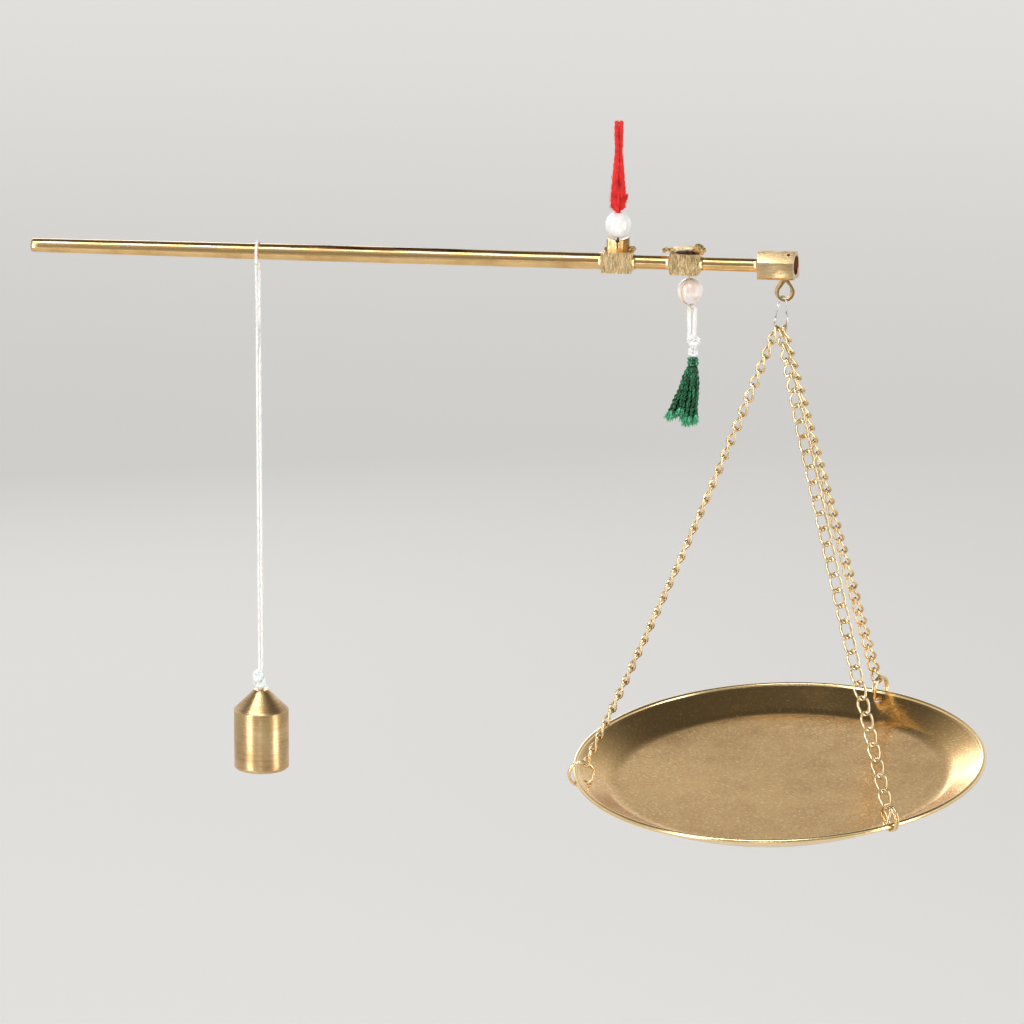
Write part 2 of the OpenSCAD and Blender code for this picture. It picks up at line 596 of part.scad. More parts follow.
// Two flat turns with one step between them
ring_angles = concat([for (a = [16:24:328]) a], [344, 360, 376], [for (a = [400:24:688]) a], [704]);
function ring_side(a) = ring_pitch/2*(a < 344 ? -1 : a > 376 ? 1 : (a - 360)/16);
module split_ring(bearing) color(brass) tube(
    [for (a = ring_angles) ring_point(bearing, a + 200, ring_side(a))],
    ring_wire/2, wire_sides, pan_turn(turn([0, 1, 0], [0, 0, 1], bearing)));
module split_ring_left() split_ring(left_hole);
module split_ring_front() split_ring(front_hole);
module split_ring_rear() split_ring(rear_hole);

// Curb chain: each link is one closed wire, an oval whose two halves are bent to opposite
// sides, so that it lies flat in its neighbours; twist turns the links along the chain
link_angles = [for (base = [0, 180], a = [0, 18, 46, 90, 134, 162]) base + a];
link_rise = 0.8*(link_wire + link_gap);
hook_gap = loop_d/2 + link_wire/2 + 0.17;
ring_gap = ring_wire/2 + link_wire/2 + 0.34;
function link_path(c, d, face, half) = let (side = cross(d, face))
    [for (t = link_angles)
        c + d*half*cos(t) + side*(link_w - link_wire)/2*sin(t) + face*link_rise*sin(2*t)];
module chain(from, to, links, sag, twist) {
    span = norm(to - from);
    along = unit(to - from);
    slack = (link_wire + link_gap)/2;
    pitch = (span + hook_gap + ring_gap - 2*slack)/links;
    half = pitch/2 + slack;
    under = unit([0, 0, -1] + along*along[2]);
    for (i = [0:links - 1]) {
        t = (i + 0.5)/links;
        d = unit(along + under*4*sag*(1 - 2*t)/span);
        c = from + along*(pitch*i + half - hook_gap) + under*4*sag*t*(1 - t);
        flat = unit([0, -1, 0] + d*d[1]);
        face = turn(flat, d, lookup(t, twist));
        tube(link_path(c, d, face, half), link_wire/2, wire_sides, face, true);
    }
}
// Place on the hanger loop's foot, at the distance s from its middle along the wire
function foot_point(s) = loop_arc(270 + asin(s/loop_half), apex_z + loop_half);
// Place where a chain's last link hooks its ring
function hook_point(bearing) = ring_point(bearing, 115, 0);
module chain_left() color(brass)
    chain(foot_point(top_spacing), hook_point(left_hole), left_links, left_sag, [[0, 71], [0.15, 60], [0.5, 92], [1, 74]]);
module chain_front() color(brass)
    chain(foot_point(0), hook_point(front_hole), front_links, 0.3, [[0, 66], [0.25, 0], [0.6, 0], [1, -37]]);
module chain_rear() color(brass)
    chain(foot_point(-top_spacing), hook_point(rear_hole), rear_links, 0.3, [[0, 76], [0.5, 45], [1, 30]]);

// Weight's thread: a loop over the rod and two strands down to the knot
loop_over = rod_d/2 + thread_gap + thread_d/2;
swing_z = beam_z - rod_d/2 - 0.8;
swing_gap = 0.12;
knot_top = beam_z - knot_fall + knot_d/2;
module weight_loop() color(white) tube(concat(
    [[-weight_x, -loop_over, swing_z + swing_gap/2], [-weight_x, -loop_over, beam_z - 1]],
    [for (a = [180:-20:0]) [-weight_x, loop_over*cos(a), beam_z + loop_over*sin(a)]],
    [[-weight_x, loop_over, beam_z - 1], [-weight_x, loop_over, swing_z + swing_gap/2]]),
    thread_d/2, thread_sides, [1, 0, 0]);
// One strand; side is -1 for the front one and 1 for the rear one
strand_x = thread_d/2 + 0.02;
strand_route = [[0, 1, 0], [0, 1, 1], [0.05, 0.85, 4], [0.25, 0.5, 9], [0.6, 0.2, 15], [0.9, 0.05, 22],
    [1, 0, 30], [1, 0, 45], [1, 0, 80]];
module strand(side) tube(smooth(concat(
    [for (p = strand_route) [-weight_x + side*strand_x*p[0], side*loop_over*p[1], swing_z - swing_gap/2 - p[2]]],
    [[-weight_x + side*strand_x, 0, knot_top + 3], [-weight_x + side*strand_x, 0, knot_top]]), 2),
    thread_d/2, thread_sides, unit([1, 0.02, 0]));
module weight_thread() color(white) {
    strand(-1);
    strand(1);
}
module weight_knot() color(white) translate([-weight_x, 0, knot_top - knot_d*1.2])
    rotate_extrude($fn = 32) polygon([[0, 0], [knot_d*0.3, 0], [knot_d*0.48, knot_d*0.15],
        [knot_d*0.42, knot_d*0.4], [knot_d*0.5, knot_d*0.65], [knot_d*0.4, knot_d*0.85],
        [knot_d*0.38, knot_d*1.05], [knot_d*0.25, knot_d*1.2], [0, knot_d*1.2]]);
weight_top_z = knot_top - knot_d*1.2 - stem_len;

// Stem of thread: from the knot into the weight, glued in the lower part of its hole
module weight_stem() color(white) translate([-weight_x, 0, weight_top_z - weight_hole_len])
    rotate_extrude($fn = 24) polygon([[0, 0], [weight_hole/2, 0], [weight_hole/2, weight_hole_len/2],
        [thread_d*0.8, weight_hole_len/2 + 0.3], [thread_d*0.8, weight_hole_len + stem_len],
        [0, weight_hole_len + stem_len]]);

module counterweight() color(brass) translate([-weight_x, 0, weight_top_z]) difference() {
    rotate_extrude($fn = 96) polygon([[0, 0], [weight_top/2, 0], [weight_d/2, -weight_cone],
        [weight_d/2, -weight_cone - weight_body + weight_chamfer],
        [weight_d/2 - weight_chamfer, -weight_cone - weight_body], [0, -weight_cone - weight_body]]);
    translate([0, 0, -weight_hole_len]) cylinder(h = 2*weight_hole_len, d = weight_hole, $fn = 24);
}

beam_rod();
upper_block();
lower_block();
solder_fillets();
upper_post();
cross_pin();
red_thread();
upper_bead();
saddle();
staple();
bead_wire();
lower_bead();
white_thread();
white_knot();
tassel_loop();
tassel_binding();
green_tassel();
end_head();
pan_eye();
hanger_loop();
chain_left();
chain_front();
chain_rear();
split_ring_left();
split_ring_front();
split_ring_rear();
pan();
weight_loop();
weight_thread();
weight_knot();
weight_stem();
counterweight();
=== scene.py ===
"""Looks of a hand-held brass steelyard balance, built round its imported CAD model."""

import bmesh
import bpy
import numpy as np
from mathutils import Matrix, Vector


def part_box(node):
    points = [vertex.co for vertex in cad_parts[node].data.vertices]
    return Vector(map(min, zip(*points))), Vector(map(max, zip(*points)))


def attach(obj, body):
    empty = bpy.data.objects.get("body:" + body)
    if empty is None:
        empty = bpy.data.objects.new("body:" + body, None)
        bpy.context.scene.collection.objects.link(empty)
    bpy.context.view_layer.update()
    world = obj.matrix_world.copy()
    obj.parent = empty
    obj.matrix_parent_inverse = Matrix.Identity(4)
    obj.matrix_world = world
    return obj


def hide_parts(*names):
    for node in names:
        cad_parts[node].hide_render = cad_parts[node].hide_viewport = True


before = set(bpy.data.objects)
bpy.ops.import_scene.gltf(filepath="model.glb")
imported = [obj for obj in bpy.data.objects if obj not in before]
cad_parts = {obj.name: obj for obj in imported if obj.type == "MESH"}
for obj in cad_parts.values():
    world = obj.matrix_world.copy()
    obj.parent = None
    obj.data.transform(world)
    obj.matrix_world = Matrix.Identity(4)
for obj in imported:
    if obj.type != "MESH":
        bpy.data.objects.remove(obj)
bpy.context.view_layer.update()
MM = 0.001


# Camera: it stands in front of the balance and a little above it, at the place from which
# the pan's round rim looks as it does in the photograph.
camera_place = (0.127697, -1.164827, 0.191906)
camera_right = (0.9915484, 0.12968355, 0.00373362)
camera_up = (-0.03387425, 0.23100479, 0.97236275)
camera_back = (0.12523696, -0.96427121, 0.23344536)
SENSOR, FOCAL_PIXELS, FRAME_PIXELS = 36.0, 5340.0, 1024.0


def placed(name, data):
    """A new object in the scene."""
    made = bpy.data.objects.new(name, data)
    bpy.context.scene.collection.objects.link(made)
    return made


camera = placed("camera", bpy.data.cameras.new("camera"))
camera.data.sensor_width = SENSOR
camera.data.lens = SENSOR * FOCAL_PIXELS / FRAME_PIXELS
camera.data.clip_start, camera.data.clip_end = 0.01, 50.0
camera.matrix_world = Matrix.Translation(camera_place) @ Matrix(
    (camera_right, camera_up, camera_back)
).transposed().to_4x4()
bpy.context.scene.camera = camera
bpy.context.scene.view_settings.view_transform = "Standard"


# Red thread: one piece of twisted scarlet thread, doubled. Both cut ends are held by the
# hand, and the bight goes down through the white bead and round the pin in the post.
def unit(vectors):
    """Each vector divided by its length."""
    return vectors / np.linalg.norm(vectors, axis=-1, keepdims=True)


def full_turn(count):
    """Angles in equal steps once round a circle."""
    return np.linspace(0, 2 * np.pi, count, endpoint=False)


def smooth(points, steps, ring=False):
    """A path through the points: each stretch is the cubic that has its end points, and at
    each of them half the step from the point before to the point after as its slope."""
    p = np.asarray(points, float)
    if ring:
        before, after, last = np.roll(p, 1, 0), np.roll(p, -1, 0), np.roll(p, -2, 0)
    else:
        p0 = np.vstack([p[:1], p, p[-1:]])
        before, after, last, p = p0[:-3], p0[2:-1], p0[3:], p0[1:-2]
    t = (np.arange(steps) / steps)[None, :, None]
    before, here, after, last = (q[:, None] for q in (before, p, after, last))
    path = 0.5 * (
        2 * here
        + (after - before) * t
        + (2 * before - 5 * here + 4 * after - last) * t**2
        + (3 * here - before - 3 * after + last) * t**3
    )
    path = path.reshape(-1, 3)
    return path if ring else np.vstack([path, np.asarray(points, float)[-1:]])


def skins(paths, radius, sides, reference, closed=False, lobes=0, depth=0.0, lay=0.0):
    """Skins of wires: a circle carried square to each path, its first point on the side of
    the reference. Lobes are a yarn's plies: they swell the circle by depth, and turn once
    round the path in each lay of its length."""
    paths = np.asarray(paths, float)
    ahead, behind = np.roll(paths, -1, 1), np.roll(paths, 1, 1)
    if not closed:
        ahead[:, -1], behind[:, 0] = paths[:, -1], paths[:, 0]
    along = unit(ahead - behind)
    reference = np.broadcast_to(np.asarray(reference, float), along.shape)
    across = unit(reference - along * (reference * along).sum(-1, keepdims=True))
    third = np.cross(along, across)
    steps = np.linalg.norm(np.diff(paths, axis=1, prepend=paths[:, :1]), axis=-1)
    run = np.cumsum(steps, 1)[..., None]
    angle = full_turn(sides)[None, None]
    swell = 1 + 0 * angle
    if lobes:
        swell = 1 + depth * np.cos(lobes * (angle - 2 * np.pi * run / lay))
    size = np.broadcast_to(np.asarray(radius, float), paths.shape[:2])[..., None] * swell
    ring = (
        np.cos(angle)[..., None] * across[:, :, None]
        + np.sin(angle)[..., None] * third[:, :, None]
    )
    return paths[:, :, None] + size[..., None] * ring


def tapered(radius, count, rings=1):
    """A wire's radius at each of its rings, with both ends drawn to a point to close them."""
    radii = np.full(count, 1.0) * radius
    radii[:rings] = radii[:rings] * np.linspace(0, 1, rings + 1)[:-1]
    radii[-rings:] = radii[-rings:] * np.linspace(1, 0, rings + 1)[1:]
    return radii


def drawn(path, radius, sides, reference, rings=1, lobes=2, depth=0.1, lay=2.4):
    """The skin of one thread of two plies, or of one wire without lobes, along a path. It
    is drawn to a point at both ends."""
    radii = tapered(radius, len(path), rings)
    return list(skins([path], radii, sides, reference, lobes=lobes, depth=depth, lay=lay))


def mesh_of(name, grids, ring=False):
    """A mesh from grids of points in millimetres. Each grid is rows by columns. Its last
    column meets its first, and in a ring its last row meets its first too."""
    points, faces, start = [], [], 0
    for grid in grids:
        rows, columns = grid.shape[:2]
        i, j = np.divmod(np.arange((rows if ring else rows - 1) * columns), columns)
        i2, j2 = (i + 1) % rows, (j + 1) % columns
        corners = [(i, j), (i, j2), (i2, j2), (i2, j)]
        faces.append(np.stack([start + a * columns + b for a, b in corners], 1))
        points.append(grid.reshape(-1, 3))
        start += rows * columns
    mesh = bpy.data.meshes.new(name)
    mesh.from_pydata((np.vstack(points) * MM).tolist(), [], np.vstack(faces).tolist())
    return closed_up(mesh)


def closed_up(mesh):
    """The mesh with its seams and poles closed and its faces outwards."""
    work = bmesh.new()
    work.from_mesh(mesh)
    bmesh.ops.remove_doubles(work, verts=work.verts, dist=1e-7)
    bmesh.ops.dissolve_degenerate(work, dist=1e-8, edges=work.edges)
    bmesh.ops.recalc_face_normals(work, faces=work.faces)
    work.to_mesh(mesh)
    work.free()
    return mesh


def seated(name, mesh, body, finish, stands_for=()):
    """The mesh as an object with its finish, riding on its body."""
    mesh.shade_smooth()
    mesh.materials.append(finish)
    made = placed(name, mesh)
    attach(made, body)
    if stands_for:
        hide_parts(*stands_for)
    return made


def piece(name, grids, body, finish, slot, stands_for=(), ring=False):
    """An object made of grids."""
    return seated(name, mesh_of(name, grids, ring), body, finish, stands_for)


def colour(code):
    """A written colour as the linear red, green, blue and alpha that a shader takes."""
    written = np.array([int(code[k : k + 2], 16) / 255 for k in (1, 3, 5)])
    linear = np.where(written > 0.04045, ((written + 0.055) / 1.055) ** 2.4, written / 12.92)
    return (*linear, 1.0)


def feed(tree, made, inputs):
    """Sets inputs of a node to values, or wires them to outputs of other nodes."""
    for key, value in inputs.items():
        if isinstance(value, bpy.types.NodeSocket):
            tree.links.new(value, made.inputs[key])
        else:
            made.inputs[key].default_value = value


def node(tree, kind, inputs, output=0, **settings):
    """An output of a new shader node with its settings and its inputs."""
    made = tree.nodes.new("ShaderNode" + kind)
    for key, value in settings.items():
        setattr(made, key, value)
    feed(tree, made, inputs)
    return made.outputs[output]


def start_finish(name, values):
    """A new material: itself, its tree, its shader with the values set, and each point of
    the object."""
    made = bpy.data.materials.new(name)
    made.use_nodes = True
    tree = made.node_tree
    shader = tree.nodes["Principled BSDF"]
    feed(tree, shader, values)
    return made, tree, shader, node(tree, "TexCoord", {}, "Object")


def coordinate(tree, axis, source="Object"):
    """One coordinate of each point."""
    return node(tree, "SeparateXYZ", {0: node(tree, "TexCoord", {}, source)}, axis)


def noise(tree, place, scale, detail, roughness=0.5):
    """Clouds of chance in so many layers. Scale is how often they repeat per metre, as
    one number or as three for X, Y and Z."""
    if isinstance(scale, tuple):
        place, scale = node(tree, "Mapping", {"Vector": place, "Scale": scale}), 1.0
    inputs = {"Vector": place, "Scale": scale, "Detail": detail, "Roughness": roughness}
    return node(tree, "TexNoise", inputs)


def joined(tree, operation, first, second):
    """Two numbers added, multiplied or compared."""
    return node(tree, "Math", {0: first, 1: second}, operation=operation)


def ramp(tree, value, low, high, first, last):
    """A number that goes smoothly from first to last while value goes from low to high."""
    inputs = {"Value": value, "From Min": low, "From Max": high, "To Min": first, "To Max": last}
    return node(tree, "MapRange", inputs, "Result", interpolation_type="SMOOTHSTEP")


def blended(tree, share, first, second):
    """A colour between two, each written or wired, by a share from 0 to 1."""
    first, second = (colour(end) if isinstance(end, str) else end for end in (first, second))
    return node(tree, "Mix", {0: share, 6: first, 7: second}, 2, data_type="RGBA")


def painted(finish, share, code):
    """Lays a colour over the finish's own, by a share from 0 to 1."""
    tree = finish.node_tree
    base = tree.nodes["Principled BSDF"].inputs["Base Color"]
    tree.links.new(blended(tree, share, base.links[0].from_socket, code), base)


def yarn_finish(name, pale, deep, sheen=0.4):
    """Twisted thread: matt fibres, a little deeper here and there, with a fine fuzz."""
    made, tree, shader, place = start_finish(name, {
        "Roughness": 0.8, "Sheen Weight": sheen, "Sheen Roughness": 0.5,
        "Subsurface Weight": 0.25, "Subsurface Scale": 0.0006,
    })
    fibres = noise(tree, place, 9000.0, 4.0)
    mixed = joined(tree, "ADD", noise(tree, place, 700.0, 3.0), fibres)
    feed(tree, shader, {
        "Base Color": blended(tree, ramp(tree, mixed, 0.6, 1.1, 0.0, 1.0), deep, pale),
        "Normal": node(tree, "Bump", {"Height": fibres, "Strength": 0.7, "Distance": 0.00006}),
    })
    return made


def middle(name, axis):
    """The middle of a CAD node's box along an axis, in millimetres."""
    low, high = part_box(name)
    return (getattr(low, axis) + getattr(high, axis)) / 2 / MM


pivot_z, upper_bead_z = middle("cross_pin", "z"), middle("upper_bead", "z")
bead_radius = (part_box("upper_bead")[1].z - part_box("upper_bead")[0].z) / 2 / MM
RED_RADIUS, RED_TIGHT, PIN_RADIUS = 0.5, 0.2, 0.25
red_knee = upper_bead_z + bead_radius + 0.5
bight = PIN_RADIUS + 0.05 + RED_TIGHT
red_front = [
    (-0.5, -0.12, 0), (-0.47, -0.15, -3), (-0.34, -0.34, -7), (-0.56, -0.25, -10),
    (-0.7, -0.2, -14), (-0.86, -0.2, -17.2), (-0.8, -0.4, red_knee + 0.9), (-0.25, -0.5, red_knee),
    (0, -bight, upper_bead_z + 2.0), (0, -bight, upper_bead_z), (0, -bight, upper_bead_z - 2.4),
]
red_bend = [
    (0, -bight * np.cos(a), pivot_z - bight * np.sin(a)) for a in np.linspace(0, np.pi, 5)
]
red_back = [(-x, -y, z) for x, y, z in reversed(red_front)]
red_path = smooth(red_front + red_bend + red_back, 6)
red_radii = RED_RADIUS * np.interp(
    red_path[:, 2], [red_knee - 0.6, red_knee + 0.3, -17.2, -14, -7, 0],
    [RED_TIGHT / RED_RADIUS, 1.3, 1.62, 1.4, 0.96, 1.0],
)
scarlet = yarn_finish("scarlet_thread", "#F22A26", "#A80A12", sheen=0.1)
tree = scarlet.node_tree
# Painted shade: from the bead down, where the thread runs into the post's slit, its colour turns to
# a dark brownish gold.
in_bead = [(upper_bead_z + edge) * MM for edge in (-1, 1)]
painted(scarlet, ramp(tree, coordinate(tree, "Z"), *in_bead, 1.0, 0.0), "#6E5230")
red_thread = piece(
    "red_thread_doubled", drawn(red_path, red_radii, 16, (1, 0, 0), lay=3.4), "hanging_cord",
    scarlet, "red_thread", ["red_thread"],
)


def loose_fibres(path, count, reach, length, radius, seed):
    """Loose fibres on a thread: each starts at a place along the path, runs on beside it
    for its length and leaves it sideways by its own share of the reach, bent like a part
    of a circle. Reach is one number, or one for each point of the path."""
    draw = np.random.default_rng(seed)
    run = np.concatenate([[0], np.cumsum(np.linalg.norm(np.diff(path, axis=0), axis=1))])
    start = draw.uniform(0, run[-1] - 0.2, count)
    heading = draw.choice([-1.0, 1.0], count)
    far = draw.uniform(0.35, 1.0, count) * length
    s = np.linspace(0, 1, 6)
    at = np.clip(start[:, None] + heading[:, None] * far[:, None] * s * 0.8, 0, run[-1])
    line = np.stack([np.interp(at, run, path[:, k]) for k in range(3)], -1)
    size = np.interp(start, run, reach * np.ones(len(path)))[:, None, None]
    size = size * draw.uniform(0.55, 1.0, (count, 1, 1))
    away = unit(draw.normal(0, 1, (count, 1, 3)) * (1, 1, 0.25))
    bend = unit(draw.normal(0, 1, (count, 1, 3)) * (1, 1, 0.4))
    part = s[:, None]
    fibre = line + size * (away * (0.35 + 0.65 * part**1.5) + bend * 0.3 * part**2)
    return list(skins(fibre, radius * (s < 1), 4, (0.3, 0.2, 0.9)))


def halved(path):
    """A path's first and second half."""
    return path[: len(path) // 2], path[len(path) // 2 :]


red_fuzz = []
for k, half in enumerate(halved(red_path[red_path[:, 2] > red_knee + 0.2])):
    reach = np.interp(half[:, 2], [red_knee, -16.5, -13, 0], [1.35, 1.3, 1.0, 0.66])
    red_fuzz += loose_fibres(half, 260, reach, 3.0, 0.035, 30 + k)
    low_half = half[half[:, 2] < -11]
    reach = np.interp(low_half[:, 2], [red_knee, -11], [1.45, 0.9])
    red_fuzz += loose_fibres(low_half, 420, reach, 2.4, 0.05, 40 + k)
frayed = smooth([
    (0.9, -0.5, red_knee + 1.6), (1.7, -0.7, red_knee + 2.6), (2.0, -0.7, red_knee + 3.6),
], 10)
red_fuzz += loose_fibres(frayed, 160, 0.55, 1.3, 0.04, 47)
core = smooth([(0, -0.25, -15.4), (0, -0.35, -17.2), (0, -0.45, red_knee + 0.2)], 12)
red_fuzz += drawn(core, 0.55, 12, (1, 0, 0), 8, lobes=0)
# No fibre rises above the cut ends, at height 0.
red_fuzz = [np.minimum(grid, (9, 9, 0)) for grid in red_fuzz]
red_fringe = piece("red_thread_fibres", red_fuzz, "hanging_cord", scarlet, "red_thread")


# White bead: a turned bead of opaque white glass with a glossy skin, threaded on the red
# thread. It rests on the mouth of the post.
def bead_grid(centre, radius, bore):
    """A ball with a hole along Z: a circle's arc from hole edge to hole edge, and the
    hole's wall, turned about the centre line."""
    edge = np.arcsin(bore / radius)
    angles = np.linspace(edge, np.pi - edge, 48)
    arc = np.stack([radius * np.sin(angles), radius * np.cos(angles)], 1)
    wall_z = np.linspace(-radius * np.cos(edge), radius * np.cos(edge), 8)[1:-1]
    return turned(np.vstack([arc, np.stack([0 * wall_z + bore, wall_z], 1)]), centre, 96)


def turned(profile, centre, count, axis="z"):
    """A profile of (radius, height) points turned about a line through the centre: row by
    row along the profile, and column by column round the line."""
    angle = full_turn(count)
    r, h = profile[:, :1], profile[:, 1:] + 0 * angle
    if axis == "x":
        return np.stack([h, r * np.cos(angle), r * np.sin(angle)], -1) + centre
    return np.stack([r * np.cos(angle), r * np.sin(angle), h], -1) + centre


def glass_finish(name, code, depth_code, clear):
    """Milky bead glass: a glossy skin over a body that light enters a little."""
    made, tree, shader, place = start_finish(name, {
        "Roughness": 0.06, "Subsurface Weight": clear, "Subsurface Scale": 0.001, "IOR": 1.52,
        "Coat Weight": 0.4, "Coat Roughness": 0.03,
    })
    share = ramp(tree, noise(tree, place, 420.0, 2.0), 0.35, 0.65, 0.0, 1.0)
    feed(tree, shader, {"Base Color": blended(tree, share, depth_code, code)})
    return made


BORE = 0.8
white_glass = glass_finish("white_bead_glass", "#FAF9F7", "#EFEDEA", 0.2)
piece(
    "white_bead", [bead_grid((0, 0, upper_bead_z), bead_radius, BORE)], "hanging_cord",
    white_glass, "white_glass", ["upper_bead"], ring=True,
)


# Beam: a drawn brass rod, thickest at its middle, with a filed chamfer at the tip. Fine
# scratches run along it, and a dark red streak is painted along part of its top.
def brass_finish(name, bright, dark, grain, rough=(0.2, 0.34), patches=120.0, streaks=0.3,
                 scratch=0.35, pits=0.25, pit_code="#4A3418"):
    """Used brass: slow paler and deeper patches, fine scratches along a grain, and a few
    pits. Grain is how often the scratches repeat per metre along X, Y and Z, and streaks
    is how much of the deeper colour lies in them."""
    made, tree, shader, place = start_finish(name, {"Metallic": 1.0})
    lines = noise(tree, place, grain, 6.0, 0.75)
    aged = ramp(tree, noise(tree, place, patches, 5.0, 0.6), 0.35, 0.75, 0.0, 1.0 - streaks)
    share = joined(tree, "ADD", aged, ramp(tree, lines, 0.42, 0.62, 0.0, streaks))
    cells = node(tree, "TexVoronoi", {"Vector": place, "Scale": 1100.0}, "Distance")
    in_spots = ramp(tree, noise(tree, place, 300.0, 2.0), 0.56, 0.64, 1.0, 0.0)
    hole = joined(tree, "MAXIMUM", ramp(tree, cells, 0.05, 0.18, 0.0, 1.0), in_spots)
    skin = blended(tree, share, bright, dark)
    fine = node(tree, "Bump", {"Height": lines, "Strength": scratch, "Distance": 0.00003})
    deep = {"Height": hole, "Strength": pits, "Distance": 0.00004, "Normal": fine}
    feed(tree, shader, {
        "Base Color": blended(tree, ramp(tree, hole, 0.0, 1.0, pits, 0.0), skin, pit_code),
        "Roughness": ramp(tree, share, 0.0, 1.0, *rough), "Normal": node(tree, "Bump", deep),
    })
    return made


def uneven(grid, size, spread, seed):
    """The grid with each point moved by a few slow waves that cross each other, to the
    given size in millimetres, as hand work leaves a surface."""
    draw = np.random.default_rng(seed)
    waves = draw.normal(0, 1 / spread, (6, 3, 3))
    phases = draw.uniform(0, 2 * np.pi, (6, 3))
    shift = np.sin(np.einsum("...k,wdk->...wd", grid, waves) + phases).mean(-2)
    return grid + size * shift


beam_z = middle("beam_rod", "z")
rod_left, rod_right = (corner.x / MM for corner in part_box("beam_rod"))
ROD, TIP, MIDDLE, END = 1.85, 1.55, 1.575, 1.5
block_half, second_x = 3.35, 15.1
rod_x = np.concatenate([
    [rod_left, rod_left, rod_left + 0.1, rod_left + 0.22, rod_left + 0.63],
    np.linspace(rod_left + 2, rod_left + 64, 80), np.linspace(rod_left + 66, -block_half, 60),
    [-block_half, 0, second_x, second_x + block_half],
    np.linspace(second_x + 4, rod_right, 20), [rod_right],
])
rod_r = np.interp(rod_x, [
    rod_left + 0.63, rod_left + 64, -block_half, -block_half + 0.01, second_x, second_x + 0.01,
    rod_right,
], [TIP, ROD, ROD, MIDDLE, MIDDLE, END, END])
rod_r[:5] = [0, 0.95, 1.28, 1.42, TIP]
rod_r[-1] = 0
aged_brass = brass_finish(
    "aged_rod_brass", "#EDC88E", "#C49E64", (130.0, 5200.0, 5200.0), rough=(0.17, 0.3)
)
# A dark red streak painted along the rod's top, between x -77 and -31 mm.
tree = aged_brass.node_tree
smear = noise(tree, node(tree, "TexCoord", {}, "Object"), (70.0, 900.0, 900.0), 4.0)
share = ramp(tree, smear, 0.4, 0.56, 0.0, 1.0)
for axis, low_edge, high_edge, first, last in (
    ("Z", beam_z + 0.75, beam_z + 1.45, 0.0, 0.9),
    ("X", -77, -71, 0.0, 1.0), ("X", -37, -31, 1.0, 0.0),
):
    band = ramp(tree, coordinate(tree, axis), low_edge * MM, high_edge * MM, first, last)
    share = joined(tree, "MULTIPLY", share, band)
painted(aged_brass, share, "#6B1B18")
rod = uneven(turned(np.stack([rod_r, rod_x], 1), (0, 0, beam_z), 48, "x"), 0.05, 5.0, 3)
piece("beam", [rod], "beam", aged_brass, "aged_brass", ["beam_rod"])


# Blocks, post, head and eye: cut from brass bar, filed by hand and soldered to the beam.
# Their edges are softened, and file marks cross their faces.
def eased(name, source, finish, width):
    """A copy of a CAD node with its triangles joined to faces and its edges rounded."""
    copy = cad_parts[source].data.copy()
    copy.materials.clear()
    work = bmesh.new()
    work.from_mesh(copy)
    bmesh.ops.remove_doubles(work, verts=work.verts, dist=1e-6)
    bmesh.ops.dissolve_limit(work, angle_limit=np.radians(0.5), verts=work.verts, edges=work.edges)
    work.to_mesh(copy)
    work.free()
    copy.name = name
    made = seated(name, closed_up(copy), "beam", finish, [source])
    bevel = made.modifiers.new("edges", "BEVEL")
    bevel.width, bevel.segments, bevel.limit_method = width * MM, 3, "ANGLE"
    bevel.angle_limit = np.radians(28.0)
    smooth_by_angle(copy, 35.0)
    return made


def smooth_by_angle(mesh, angle):
    """Shading smooth, with edges kept sharp where faces meet at more than the angle."""
    work = bmesh.new()
    work.from_mesh(mesh)
    for edge in work.edges:
        edge.smooth = bool(
            len(edge.link_faces) == 2 and edge.calc_face_angle(0) < np.radians(angle)
        )
    work.to_mesh(mesh)
    work.free()


filed_brass = brass_finish(
    "filed_block_brass", "#FFE3AE", "#8A6638", (5200.0, 5200.0, 700.0), rough=(0.24, 0.42),
    patches=420.0, streaks=0.75, scratch=1.0, pits=0.3,
)
head_brass = brass_finish(
    "filed_head_brass", "#FDE6B6", "#C9A068", (500.0, 3600.0, 2600.0), rough=(0.2, 0.36),
    patches=260.0, streaks=0.5, scratch=0.6, pits=0.3,
)
post_brass = brass_finish(
    "cut_post_brass", "#F6E2B8", "#B08C58", (1800.0, 1800.0, 600.0), rough=(0.16, 0.3),
    patches=300.0, streaks=0.4, scratch=0.4,
)
eye_brass = brass_finish(
    "strip_eye_brass", "#E4BF80", "#8A6836", (900.0, 900.0, 900.0), rough=(0.14, 0.26),
    patches=500.0, streaks=0.4,
)
# Painted shade: the post's right half, past the slit, is coloured a deeper brown.
tree = post_brass.node_tree
painted(post_brass, ramp(tree, coordinate(tree, "X"), -0.0001, 0.0004, 0.0, 0.8), "#8C6836")
eased("first_block", "upper_block", filed_brass, 0.16)
eased("second_block", "lower_block", filed_brass, 0.12)
post = eased("split_post", "upper_post", post_brass, 0.1)
strap = eased("strap_over_block", "saddle", head_brass, 0.1)
head = eased("filed_head", "end_head", head_brass, 0.16)
eased("strip_eye", "pan_eye", eye_brass, 0.17)


def reshaped(made, change):
    """The piece with its mesh points moved by a function of their places in millimetres."""
    count = len(made.data.vertices)
    flat = np.empty(count * 3)
    made.data.vertices.foreach_get("co", flat)
    moved = change(flat.reshape(-1, 3) / MM) * MM
    made.data.vertices.foreach_set("co", moved.ravel())
    made.data.update()


def post_ridged(p):
    """The post's front swells to a ridge at the slit, so its two halves face apart."""
    left, right = (np.clip(side * p[:, 0] - 0.2, 0, None) for side in (-1, 1))
    p[:, 1] += (p[:, 1] < -0.9) * (0.42 * left + 0.05 * right)
    return p


def end_askew(p):
    """The head's open end is sawn askew: shorter at the front by a millimetre."""
    end = np.clip((p[:, 0] - 38.0) / 2.0, 0, 1)
    p[:, 0] -= 0.33 * end * np.clip(2.6 - p[:, 1], 0, None) * 0.5
    return p


